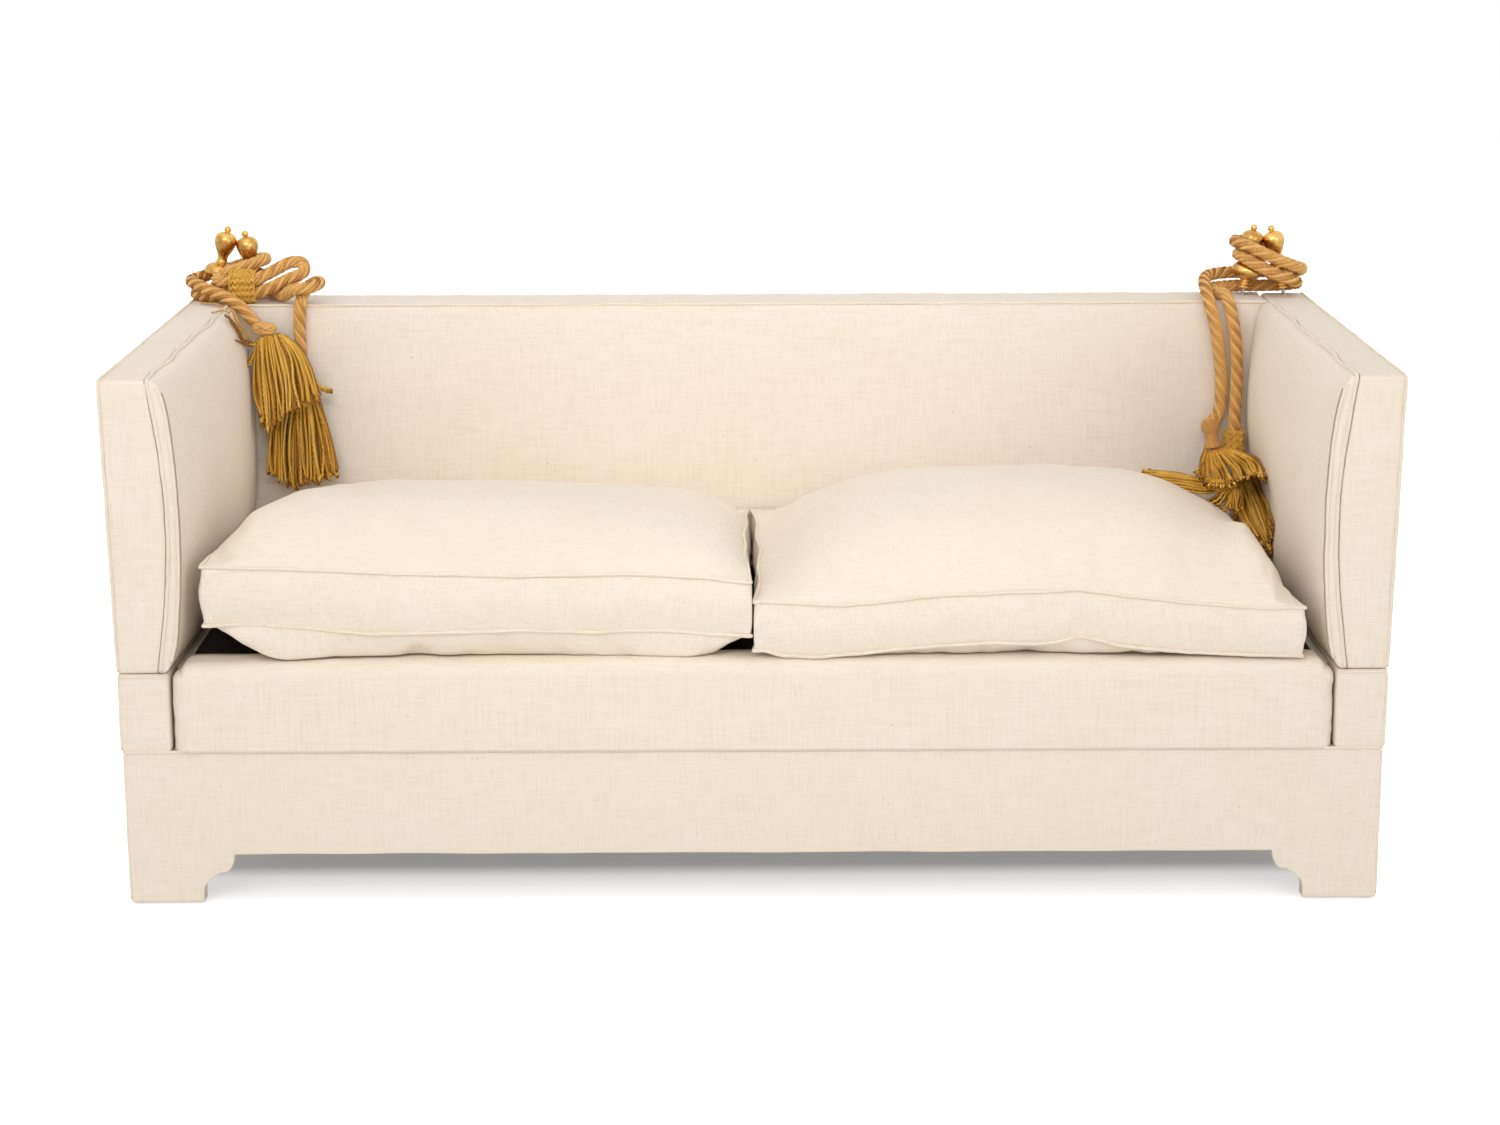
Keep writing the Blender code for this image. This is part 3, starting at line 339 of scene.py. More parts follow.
# Painted shade in the grooves, tone, and painted highlight on the crests of each yarn
YARN_TONES = {
    "amber_satin_ply": ((0.64, 0.310, 0.085), (0.92, 0.510, 0.155), (0.97, 0.66, 0.27)),
    "amber_gimp_ply": ((0.20, 0.065, 0.010), (0.84, 0.430, 0.110), (0.97, 0.62, 0.22)),
    "gold_bullion": ((0.30, 0.120, 0.004), (0.84, 0.420, 0.034), (0.97, 0.66, 0.14)),
    "pale_gold_bullion": ((0.45, 0.200, 0.010), (0.95, 0.550, 0.075), (0.97, 0.76, 0.24)),
    # A darker copy of the gold yarn: painted shade for the tassels' back layers, hem loops and wound heads'
    # cores
    "gold_bullion_with_painted_shade": ((0.14, 0.045, 0.003), (0.40, 0.165, 0.014), (0.62, 0.31, 0.045)),
    "yellow_gold_braid": ((0.42, 0.190, 0.012), (0.92, 0.510, 0.070), (0.97, 0.70, 0.18)),
}


def yarn_material(name, pitch, turns, rough, painted_side_shade=False):
    """Silky yarn: fine twisted threads, so many round a strand, drawn along the strand's own map, with
    painted shade in their grooves and painted highlight on their crests.
    """
    made = Surface(name)
    painted_groove_shade, tone, painted_highlight = YARN_TONES[name]
    split = made.split(made.place["UV"])
    level = made.half_up(made.wave((split[1], 2 * pi / pitch), (split[0], 2 * pi * turns)))
    # The twist's colour: painted shade in the grooves between threads, painted highlight on their crests
    colour = made.ramp(level, ((0.05, painted_groove_shade), (0.55, tone), (1.0, painted_highlight)))
    cloud = made.noise(made.place["Object"], 60.0, 3.0, 0.6)
    colour = made.tint(colour, made.ramp(cloud, ((0.35, (0.90, 0.86, 0.78)), (0.65, (1.08, 1.05, 1.0)))))
    if painted_side_shade:
        # Painted shade: the strand's sides and back, turned away from the front, are darkened and its front
        # lightened a little
        front = made.half_up(made.wave((split[0], 2 * pi)))
        stops = ((0.40, (0.20, 0.11, 0.04)), (0.72, (0.74, 0.66, 0.50)), (0.96, (1.06, 1.04, 1.0)))
        colour = made.tint(colour, made.ramp(front, stops))
    made.bump(level, 0.7, 0.0006)
    looks = {"Base Color": colour, "Roughness": rough, "Specular IOR Level": 0.28}
    return made.finish({**looks, "Sheen Weight": 0.2, "Sheen Roughness": 0.4, "Sheen Tint": tone}, tone)


def metal_material(name, tone, worn, rough, scale, metallic=1.0):
    made = Surface(name)
    cloud = made.noise(made.place["Object"], scale, 5.0, 0.6)
    fine = made.noise(made.place["Object"], scale * 5, 4.0, 0.6)
    gloss = made.add("ShaderNodeMapRange", {"Value": fine, "To Min": rough * 0.75, "To Max": rough * 1.35})[0]
    made.bump(fine, 0.25, 0.0003)
    colour = made.ramp(cloud, ((0.38, worn), (0.56, tone)))
    return made.finish({"Base Color": colour, "Roughness": gloss, "Metallic": metallic}, tone)


def wood_material(name):
    made = Surface(name)
    grain = made.stretched_noise(made.place["Object"], (6, 90, 90), 6.0, 0.65)
    made.bump(grain, 0.3, 0.0005)
    colour = made.ramp(grain, ((0.35, (0.42, 0.26, 0.13)), (0.62, (0.64, 0.45, 0.27))))
    return made.finish({"Base Color": colour, "Roughness": 0.6})


def coarse_cloth(name, dark, light, pitch):
    made = Surface(name)
    split = made.split(made.place["Object"])
    weave = made.math("MULTIPLY", *(made.wave((split[axis], 2 * pi / pitch)) for axis in (0, 1)))
    speck = made.noise(made.place["Object"], 240.0, 3.0, 0.7)
    level = made.math("ADD", made.math("MULTIPLY", weave, 0.2), speck)
    made.bump(level, 0.6, 0.001)
    return made.finish({"Base Color": made.ramp(level, ((0.3, dark), (0.7, light))), "Roughness": 0.95})


linen = linen_material("natural_linen")
back_linen = linen_material("natural_linen_of_the_back", tone=(0.828, 0.748, 0.648))
welt_linen = linen_material("linen_piping", tone=(0.815, 0.720, 0.592), soil=0.8)
# Dark linen for the thin cords beside the arm welts: painted shadow of the seams' grooves
seam_shadow_linen = linen_material("linen_painted_seam_shadow", tone=(0.40, 0.30, 0.20), soil=1.0)
satin_ply = yarn_material("amber_satin_ply", 0.0016, 5, 0.42)
bead_ply = yarn_material("amber_gimp_ply", 0.0029, 1, 0.5)
# The three bullion yarns take the painted side shade
bullion = yarn_material("gold_bullion", 0.0034, 2, 0.4, True)
light_bullion = yarn_material("pale_gold_bullion", 0.0034, 2, 0.4, True)
painted_shade_bullion = yarn_material("gold_bullion_with_painted_shade", 0.0034, 2, 0.45, True)
braid_yarn = yarn_material("yellow_gold_braid", 0.0026, 2, 0.4)
gilt = metal_material("worn_gilding", (0.86, 0.54, 0.17), (0.55, 0.29, 0.07), 0.26, 34.0)
steel = metal_material("bright_steel", (0.66, 0.66, 0.66), (0.5, 0.5, 0.5), 0.3, 60.0)
brass = metal_material("hinge_brass", (0.62, 0.47, 0.22), (0.42, 0.30, 0.13), 0.38, 60.0)
beech = wood_material("planed_beech")
hessian = coarse_cloth("dark_deck_cloth", (0.010, 0.006, 0.005), (0.030, 0.020, 0.014), 0.0022)
jute = coarse_cloth("jute_webbing", (0.20, 0.13, 0.07), (0.42, 0.31, 0.18), 0.004)
glide = metal_material("dark_glide", (0.05, 0.05, 0.05), (0.03, 0.03, 0.03), 0.5, 50.0, 0.0)


def paint_nodes():
    """The CAD pieces that stay: hinges, pins, frames, corner blocks, webbing, glides."""
    for name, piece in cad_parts.items():
        for words, material in (
            (("hinge",), brass),
            (("frame", "corner_block"), beech),
            (("webbing",), jute),
            (("glide",), glide),
            (("arm_pin", "back_pin"), steel),
        ):
            if any(word in name for word in words):
                piece.data.materials.clear()
                piece.data.materials.append(material)


paint_nodes()


def settle(piece, body, *nodes, slot="linen"):
    """Lets a piece ride on its body and stand for its CAD solids."""
    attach(piece, body)
    if nodes:
        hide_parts(*nodes)
    return piece


# The arms' form
def arm_outside(z):
    return HALF + (z - SEAM_Z) * tan(ARM_LEAN)


def arm_inside(z):
    share = (z - SEAM_Z) / (TOP_Z - SEAM_Z)
    foot = HALF - ARM_BOTTOM_WIDTH
    top = arm_outside(TOP_Z) - ARM_TOP_WIDTH
    return foot + (top - foot) * share


def arm_bow(z, y):
    up = np.clip((z - SEAM_Z) / (TOP_Z - SEAM_Z), 0, 1)
    along = np.clip((y - FRONT_Y) / (BACK_FRONT - FRONT_Y), 0, 1)
    return ARM_BOW * np.sin(pi * up) * (1 - along) ** 2


# The right tassel hangs against its arm pad and presses it in: by what share, where, and how far around
TASSEL_PRESS = 0.5
PRESS_Y, PRESS_Z, PRESS_REACH_Y, PRESS_REACH_Z = 0.14, 0.525, 0.19, 0.085


def pad_face(y, z, pressed=0.0):
    """How far the pad's seat side lies from the middle of the sofa."""
    start, end = FRONT_Y + FIT, BACK_FRONT - PAD_TO_BACK
    u = np.clip((y - start) / (end - start) * 2 - 1, -1, 1)
    v = np.clip((z - SEAM_Z - FIT) / (TOP_Z - SEAM_Z - 2 * FIT) * 2 - 1, -1, 1)
    full = (PAD_FULL + PAD_CROWN * (1 - u * u)) * np.sqrt(np.maximum(1 - v * v, 0)) ** 0.8
    away = ((y - PRESS_Y) / PRESS_REACH_Y) ** 2 + ((z - PRESS_Z) / PRESS_REACH_Z) ** 2
    full = full * (1 - pressed * np.exp(-away))
    return np.minimum(arm_inside(z) - PAD_HEM - full, arm_inside(z) - arm_bow(z, y) - PAD_HEM)


# Ropes. The route of each rope's middle line, from its outer tassel to its inner one
LEFT_ROUTE = (
    (-0.8680, 0.3020, 0.8100), (-0.8915, 0.3080, 0.8360), (-0.9190, 0.3205, 0.8525),
    (-0.9485, 0.3385, 0.8615), (-0.9745, 0.3625, 0.8685), (-0.9925, 0.3915, 0.8715),
    (-0.9945, 0.4130, 0.8725), (-0.9855, 0.4325, 0.8740), (-0.9635, 0.4490, 0.8785),
    (-0.9305, 0.4540, 0.8880), (-0.8975, 0.4495, 0.8990), (-0.8745, 0.4375, 0.9065),
    (-0.8660, 0.4255, 0.9080), (-0.8645, 0.4110, 0.9090), (-0.8715, 0.3980, 0.9070),
    (-0.8935, 0.3850, 0.9000), (-0.9245, 0.3770, 0.8900), (-0.9375, 0.3730, 0.8850),
    (-0.9425, 0.3665, 0.8815), (-0.9410, 0.3575, 0.8785), (-0.9345, 0.3505, 0.8770),
    (-0.9260, 0.3495, 0.8794), (-0.9125, 0.3530, 0.8794), (-0.8765, 0.3525, 0.8795),
    (-0.8450, 0.3595, 0.8930), (-0.8150, 0.3650, 0.9080), (-0.8000, 0.3645, 0.9100),
    (-0.7915, 0.3630, 0.9080), (-0.7870, 0.3590, 0.9030), (-0.7870, 0.3545, 0.8960),
    (-0.7925, 0.3500, 0.8900), (-0.8155, 0.3470, 0.8810), (-0.8465, 0.3490, 0.8660),
    (-0.8740, 0.3520, 0.8561), (-0.9100, 0.3515, 0.8561), (-0.9435, 0.3605, 0.8515),
    (-0.9725, 0.3790, 0.8490), (-0.9850, 0.3965, 0.8490), (-0.9880, 0.4115, 0.8490),
    (-0.9835, 0.4260, 0.8495), (-0.9680, 0.4400, 0.8495), (-0.9350, 0.4480, 0.8500),
    (-0.9000, 0.4465, 0.8500), (-0.8680, 0.4355, 0.8500), (-0.8495, 0.4145, 0.8500),
    (-0.8365, 0.3820, 0.8500), (-0.8220, 0.3500, 0.8530), (-0.8070, 0.3270, 0.8635),
    (-0.7980, 0.3205, 0.8680), (-0.7825, 0.3180, 0.8695), (-0.7690, 0.3225, 0.8715),
    (-0.7610, 0.3335, 0.8745), (-0.7600, 0.3470, 0.8760), (-0.7640, 0.3550, 0.8755),
    (-0.7705, 0.3605, 0.8735), (-0.7780, 0.3620, 0.8690), (-0.7840, 0.3590, 0.8635),
    (-0.7890, 0.3485, 0.8555), (-0.7895, 0.3265, 0.8470), (-0.7915, 0.3215, 0.8370),
    (-0.7935, 0.3185, 0.8015), (-0.7930, 0.3165, 0.7655), (-0.7915, 0.3130, 0.7295),
    (-0.7900, 0.3100, 0.7120),
)
RIGHT_ROUTE = (
    (0.8175, 0.3080, 0.6215), (0.8300, 0.3140, 0.6400), (0.8340, 0.3160, 0.6875), (0.8300, 0.3135, 0.7350),
    (0.8230, 0.3120, 0.7820), (0.8125, 0.3175, 0.8280), (0.8060, 0.3310, 0.8515), (0.8060, 0.3670, 0.8675),
    (0.8185, 0.4110, 0.8730), (0.8455, 0.4400, 0.8740), (0.8900, 0.4535, 0.8740), (0.9375, 0.4545, 0.8745),
    (0.9715, 0.4445, 0.8765), (0.9840, 0.4255, 0.8805), (0.9835, 0.4025, 0.8870), (0.9685, 0.3855, 0.8935),
    (0.9260, 0.3785, 0.9100), (0.8840, 0.3885, 0.9300), (0.8705, 0.4000, 0.9330), (0.8665, 0.4170, 0.9340),
    (0.8725, 0.4330, 0.9330), (0.8965, 0.4465, 0.9285), (0.9205, 0.4495, 0.9265), (0.9270, 0.4495, 0.9190),
    (0.9280, 0.4490, 0.9100), (0.9230, 0.4480, 0.9030), (0.8995, 0.4425, 0.9040), (0.8765, 0.4275, 0.9100),
    (0.8725, 0.4165, 0.9110), (0.8775, 0.4000, 0.9085), (0.8935, 0.3845, 0.9000), (0.9350, 0.3750, 0.8800),
    (0.9600, 0.3805, 0.8705), (0.9755, 0.4010, 0.8620), (0.9765, 0.4225, 0.8570), (0.9670, 0.4355, 0.8535),
    (0.9225, 0.4480, 0.8500), (0.8755, 0.4460, 0.8500), (0.8340, 0.4285, 0.8495), (0.8235, 0.4100, 0.8495),
    (0.8275, 0.3645, 0.8500), (0.8400, 0.3247, 0.8465), (0.8515, 0.3140, 0.8005), (0.8575, 0.3115, 0.7535),
    (0.8590, 0.3090, 0.7055), (0.8580, 0.3050, 0.6580), (0.8570, 0.3030, 0.6100), (0.8570, 0.3020, 0.5620),
)
ROUTES = {"left": LEFT_ROUTE, "right": RIGHT_ROUTE}
WINDING_ENDS = {"left": 45, "right": 40}  # the point of the route where the inner tail starts
ROPE_RADIUS = 0.0110
ROPE_LAY = 0.073  # one full turn of the plies
PLY_OUT, PLY_RADIUS, PLY_SIDES = 0.0072, 0.0040, 8
BEAD_PITCH, BEAD_HEIGHT = 0.0029, 0.00065
ROPE_STEP, CURVE_STEP = 0.00066, 0.002
KNOT_SPANS = (((0, 1), (1, 2), (2, 3)), ((0, 2), (1, 3)), ((1, 2),))


def smooth_curve(route):
    """Closely spaced points on a centripetal curve through the route, and where each route point falls."""
    points = [np.array(p, float) for p in route]
    points = [points[0] * 2 - points[1]] + points + [points[-1] * 2 - points[-2]]
    found, stops = [], []
    for a, b, c, d in zip(points, points[1:], points[2:], points[3:]):
        stops.append(len(found))
        knots = [0.0]
        for near, far in ((a, b), (b, c), (c, d)):
            knots.append(knots[-1] + sqrt(np.linalg.norm(far - near)))
        count = max(int(np.linalg.norm(c - b) / CURVE_STEP), 1)
        for i in range(count):
            t = knots[1] + (knots[2] - knots[1]) * i / count
            row = [a, b, c, d]
            for spans in KNOT_SPANS:
                shares = [(t - knots[j]) / (knots[k] - knots[j]) for j, k in spans]
                row = [p + (q - p) * s for p, q, s in zip(row, row[1:], shares)]
            found.append(row[0])
    stops.append(len(found))
    found.append(points[-2])
    return np.array(found), stops


# Inside its head and skirt the rope runs on as a thin core
CORES = {
    "left_tassel_outer": ((-0.852, 0.296, 0.801), (-0.842, 0.302, 0.775), (-0.834, 0.305, 0.735)),
    "left_tassel_inner": ((-0.789, 0.313, 0.690), (-0.787, 0.313, 0.640)),
    "right_tassel_outer": (
        (0.8165, 0.301, 0.603), (0.819, 0.291, 0.583), (0.822, 0.262, 0.562), (0.818, 0.200, 0.549),
        (0.805, 0.150, 0.547),
    ),
    "right_tassel_inner": ((0.861, 0.280, 0.541), (0.866, 0.215, 0.516), (0.868, 0.150, 0.500)),
}
CORE_SHARE, CORE_TAPER = 0.42, 0.010


def rope_mesh(name, path, frames, twist, fullness, first, last):
    """Three satin plies and three beaded ones, laid up round the rope's middle line."""
    builder = Builder()
    side, other = frames
    for ply in range(6):
        turn = 2 * pi * ply / 6 - twist
        out = side * np.cos(turn)[:, None] + other * np.sin(turn)[:, None]
        centre = path + out * PLY_OUT * fullness[:, None]
        way = tangents(centre)
        across = unit(np.cross(way, out))
        outward = np.cross(across, way)
        along = travelled(centre)
        beaded = ply % 2
        pick = np.arange(first, last + 1, 1 if beaded else 3)
        if pick[-1] != last:
            pick = np.append(pick, last)
        radius = np.full((len(path), PLY_SIDES), PLY_RADIUS)
        if beaded:
            around = 2 * pi * np.arange(PLY_SIDES) / PLY_SIDES
            phase = 2 * pi * along[:, None] / BEAD_PITCH + around[None, :]
            radius = PLY_RADIUS - BEAD_HEIGHT * 0.6 + BEAD_HEIGHT * np.cos(phase)
        radius = radius * fullness[:, None]
        builder.sweep(centre[pick], outward[pick], across[pick], radius[pick], beaded, along[pick])
    return builder.build(name, (satin_ply, bead_ply)), path[first : last + 1]


def make_ropes():
    """Each side's rope as two pieces, the winding with the outer tail and the inner tail, and their lines."""
    ropes = []
    for side_name, sign, arm in SIDES:
        outer, inner = CORES[f"{side_name}_tassel_outer"], CORES[f"{side_name}_tassel_inner"]
        whole, stops = smooth_curve(outer[::-1] + ROUTES[side_name] + inner)
        gone = travelled(whole)
        start, end = gone[stops[len(outer)]], gone[stops[-len(inner) - 1]]
        split = gone[stops[WINDING_ENDS[side_name] + len(outer)]]
        path = resampled(whole, ROPE_STEP)
        gone = travelled(path)
        inside = np.clip(np.maximum(start - gone, gone - end) / CORE_TAPER, 0, 1)
        shared = (path, carried_frames(path), 2 * pi * gone / ROPE_LAY, 1 - (1 - CORE_SHARE) * inside)
        middle = int(round(split / gone[-1] * (len(path) - 1)))
        cords = (
            ("winding", 0, middle, "coiled", "outer", ("rope_winding", "rope_tail_outer")),
            ("tail_inner", middle, len(path) - 1, "hanging", "inner", ("rope_tail_inner",)),
        )
        for part, near, far, lay, which, stands_for in cords:
            piece, line = rope_mesh(f"{side_name}_rope_{part}_twisted", *shared, near, far)
            line = line[::-1] if part == "winding" else line
            ropes.append((piece, line, side_name, sign, arm, part, lay, which, stands_for))
    return ropes


ROPES = make_ropes()


# Tassels. The strands run through rows of four guide points, from the ring down to the hem, or between two
# rows. Each lock has the depths of its four points, and then its rows with the points' other two places
LOCK_DEPTHS = {
    "left_tassel_outer": (0.292, 0.285, 0.268, 0.250),
    "left_tassel_inner": (0.305, 0.300, 0.295, 0.285),
    "right_tassel_outer": (0.290, 0.245, 0.180, 0.110),
    "right_tassel_inner": (0.290, 0.205, 0.120, 0.025),
    "side": (0.130, 0.125, 0.120, 0.115),
    "tips": (0.135, 0.130, 0.125, 0.120),
    "short": (0.285, 0.283, 0.281, 0.280),
}
LOCKS = {
    "left_tassel_outer": (
        ((-0.8676, 0.7783), (-0.8716, 0.7365), (-0.8665, 0.6873), (-0.8582, 0.6588)),
        ((-0.8617, 0.7851), (-0.8613, 0.7410), (-0.8575, 0.6872), (-0.8524, 0.6360)),
        ((-0.8549, 0.7884), (-0.8546, 0.7410), (-0.8477, 0.6804), (-0.8427, 0.6269)),
        ((-0.8470, 0.7907), (-0.8432, 0.7454), (-0.8340, 0.6894), (-0.8288, 0.6382)),
        ((-0.8380, 0.7918), (-0.8276, 0.7454), (-0.8202, 0.6984), (-0.8157, 0.6609)),
        ((-0.8313, 0.7929), (-0.8141, 0.7476), (-0.8068, 0.6984), (-0.8022, 0.6631)),
        ((-0.8257, 0.7929), (-0.8026, 0.7543), (-0.7907, 0.7119), (-0.7828, 0.6743)),
        ((-0.8223, 0.7928), (-0.7956, 0.7634), (-0.7811, 0.7300), (-0.7727, 0.6788)),
        ((-0.8190, 0.7917), (-0.7910, 0.7656), (-0.7742, 0.7345), (-0.7546, 0.6844)),
    ),
    "left_tassel_inner": (
        ((-0.8002, 0.7147), (-0.8426, 0.6472), (-0.8519, 0.5909), (-0.8521, 0.5469)),
        ((-0.7980, 0.7146), (-0.8336, 0.6472), (-0.8411, 0.5793), (-0.8401, 0.5376)),
        ((-0.7957, 0.7146), (-0.8200, 0.6471), (-0.8241, 0.5793), (-0.8249, 0.5214)),
        ((-0.7935, 0.7146), (-0.8065, 0.6471), (-0.8106, 0.5792), (-0.8081, 0.5167)),
        ((-0.7912, 0.7146), (-0.7953, 0.6470), (-0.7926, 0.5791), (-0.7897, 0.5259)),
        ((-0.7890, 0.7146), (-0.7818, 0.6470), (-0.7768, 0.5791), (-0.7728, 0.5258)),
        ((-0.7866, 0.7169), (-0.7702, 0.6561), (-0.7606, 0.5905), (-0.7546, 0.5303)),
        ((-0.7842, 0.7214), (-0.7653, 0.6652), (-0.7489, 0.6019), (-0.7397, 0.5372)),
        ((-0.7819, 0.7237), (-0.7607, 0.6698), (-0.7423, 0.5973), (-0.7304, 0.5441)),
    ),
    "right_tassel_outer": (
        ((0.8058, 0.5802), (0.7921, 0.5736), (0.7771, 0.5740), (0.7632, 0.5765)),
        ((0.8094, 0.5793), (0.7995, 0.5644), (0.7882, 0.5595), (0.7795, 0.5595)),
        ((0.8122, 0.5784), (0.8031, 0.5644), (0.7936, 0.5558), (0.7860, 0.5479)),
        ((0.8158, 0.5784), (0.8130, 0.5644), (0.8096, 0.5558), (0.8069, 0.5496)),
        ((0.8212, 0.5792), (0.8254, 0.5680), (0.8263, 0.5611), (0.8235, 0.5522)),
        ((0.8266, 0.5811), (0.8397, 0.5698), (0.8456, 0.5647), (0.8398, 0.5620)),
        ((0.8337, 0.5829), (0.8538, 0.5770), (0.8613, 0.5736), (0.8598, 0.5663)),
        ((0.8410, 0.5825), (0.8627, 0.5806), (0.8788, 0.5790), (0.8783, 0.5627)),
        ((0.8500, 0.5819), (0.8753, 0.5797), (0.8912, 0.5807), (0.8903, 0.5698)),
    ),
    "right_tassel_inner": (
        ((0.8502, 0.5773), (0.8438, 0.5250), (0.8397, 0.5070), (0.8325, 0.4994)),
        ((0.8529, 0.5773), (0.8528, 0.5250), (0.8488, 0.4998), (0.8547, 0.4816)),
        ((0.8547, 0.5773), (0.8581, 0.5250), (0.8560, 0.4943), (0.8709, 0.4655)),
        ((0.8565, 0.5773), (0.8670, 0.5249), (0.8680, 0.5033), (0.8816, 0.4566)),
        ((0.8583, 0.5773), (0.8777, 0.5249), (0.8802, 0.5050), (0.8877, 0.4530)),
        ((0.8601, 0.5773), (0.8920, 0.5248), (0.8890, 0.5068), (0.8901, 0.4832)),
        ((0.8610, 0.5773), (0.9026, 0.5284), (0.8932, 0.5122), (0.8875, 0.5062)),
    ),
    "side": (
        ((0.8133, 0.5570), (0.7737, 0.5627), (0.7288, 0.5728), (0.6755, 0.5785)),
        ((0.8206, 0.5498), (0.7774, 0.5564), (0.7291, 0.5657), (0.6739, 0.5705)),
        ((0.8277, 0.5462), (0.7812, 0.5474), (0.7310, 0.5576), (0.6759, 0.5634)),
        ((0.8312, 0.5462), (0.7920, 0.5384), (0.7596, 0.5405), (0.7236, 0.5498)),
    ),
    "tips": (
        ((0.8268, 0.5452), (0.8156, 0.5409), (0.7974, 0.5288), (0.7774, 0.5204)),
        ((0.8321, 0.5451), (0.8245, 0.5372), (0.8170, 0.5216), (0.8093, 0.5113)),
        ((0.8356, 0.5433), (0.8334, 0.5336), (0.8329, 0.5179), (0.8375, 0.5076)),
        ((0.8392, 0.5433), (0.8424, 0.5282), (0.8403, 0.5071), (0.8346, 0.4914)),
        ((0.8427, 0.5415), (0.8462, 0.5192), (0.8460, 0.4963), (0.8509, 0.4751)),
    ),
    "short": (
        ((-0.7700, 0.7180), (-0.7640, 0.7060), (-0.7540, 0.6970), (-0.7400, 0.6890)),
        ((-0.7680, 0.7200), (-0.7610, 0.7090), (-0.7500, 0.7010), (-0.7380, 0.6950)),
    ),
}
SHORT_STEP = -0.001  # the second row of the short strands lies this much further forward
# Tassel, and for each of its locks: its guides, how many strands, how far back it lies, and the share of its
# strands in the darker yarn, which is painted shade and grows towards the back
TASSEL_LOCKS = {
    "left_tassel_outer": (
        ("left_tassel_outer", 19, 0.0, 0.05),
        ("left_tassel_outer", 18, 0.005, 0.45),
        ("left_tassel_outer", 17, 0.011, 1.0),
    ),
    "left_tassel_inner": (
        ("left_tassel_inner", 21, 0.0, 0.08),
        ("left_tassel_inner", 20, 0.005, 0.5),
        ("left_tassel_inner", 20, 0.011, 1.0),
        ("short", 3, 0.0, 0.0),
    ),
    "right_tassel_outer": (
        ("right_tassel_outer", 27, 0.0, 0.08),
        ("right_tassel_outer", 24, 0.006, 0.8),
        ("side", 12, 0.0, 0.05),
        ("side", 9, 0.005, 0.6),
        ("tips", 14, 0.0, 0.3),
        ("tips", 13, 0.006, 0.9),
    ),
    "right_tassel_inner": (
        ("right_tassel_inner", 26, 0.0, 0.3),
        ("right_tassel_inner", 22, 0.007, 0.9),
    ),
}
# Single strands that stray over the left arm: their routes, radii and whether they take the darker yarn of
# painted shade
STRAYS = (
    (((-0.8712, 0.288, 0.7862), (-0.8947, 0.276, 0.8120),
      (-0.9280, 0.300, 0.8420), (-0.9690, 0.340, 0.8405)), 0.0014, 0),
    (((-0.8732, 0.288, 0.7809), (-0.8913, 0.268, 0.8050),
      (-0.9100, 0.240, 0.8420), (-0.9300, 0.220, 0.8410)), 0.0014, 0),
    (((-0.8716, 0.288, 0.7774), (-0.8880, 0.256, 0.7920),
      (-0.8960, 0.220, 0.8280), (-0.9009, 0.185, 0.8420)), 0.0024, 1),
    (((-0.8736, 0.288, 0.7721), (-0.8890, 0.250, 0.7860),
      (-0.8930, 0.215, 0.8180), (-0.8950, 0.185, 0.8400)), 0.0022, 1),
    (((-0.8644, 0.286, 0.7750), (-0.8806, 0.278, 0.7772),
      (-0.8960, 0.256, 0.7827), (-0.8990, 0.190, 0.7980)), 0.0017, 0),
    (((-0.8702, 0.286, 0.7617), (-0.8748, 0.280, 0.7539),
      (-0.8815, 0.276, 0.7457), (-0.8874, 0.272, 0.7375)), 0.0026, 1),
    (((-0.8683, 0.286, 0.7653), (-0.8711, 0.279, 0.7558),
      (-0.8743, 0.275, 0.7476), (-0.8784, 0.271, 0.7395)), 0.0022, 0),
)
# The slots of a tassel's materials; the dark slot is a darker copy of the gold yarn, painted shade
GOLD, PAINTED_SHADE, SATIN, PALE = 0, 1, 2, 3
LOOSE = np.array([0.15, 0.6, 0.9, 1.0])[:, None]  # how freely each guide point moves about
# The side of each strand that its painted side shade leaves lit
STRAND_FRONT = np.array([0.0, -0.96, 0.28])
STRAND_WANDER = (0.0022, 0.0020, 0.0016)
TWISTED_SHARE, PALE_SHARE = 0.28, 0.32
TWISTED_RADII, PLAIN_RADII, STRAND_RADIUS = (0.0030, 0.0035), (0.0019, 0.0026), 0.0028
STRAND_LAY = 0.0100
PATH_STEP = 0.004
TOUCH = 0.001


def clear_of_arm(path, radius):
    """Lets a strand lie against the padded arm and on top of it, and not inside."""
    side = np.sign(path[0, 0])
    out, y, z = path[:, 0] * side, path[:, 1], path[:, 2]
    face = pad_face(y, z, TASSEL_PRESS * (side > 0)) - radius - TOUCH
    beside = z < TOP_Z - 0.012
    path[:, 0] = side * np.where(beside, np.minimum(out, face), out)
    over = ~beside & (out > face)
    path[:, 2] = np.where(over, np.maximum(z, TOP_Z + radius + TOUCH), z)
    return path


def strand_path(route, radius):
    return clear_of_arm(resampled(smooth_curve(route)[0], PATH_STEP), radius)


def loop_end(path, rng, size):
    """The small loop in which a strand turns back on itself at the hem."""
    way = unit(path[-1] - path[-3])
    side = unit(np.cross(way, rng.normal(size=3)))
    turns = np.linspace(0, 1.5 * pi, 10)
    return path[-1] + way * size * np.sin(turns)[:, None] + side * size * (1 - np.cos(turns))[:, None]


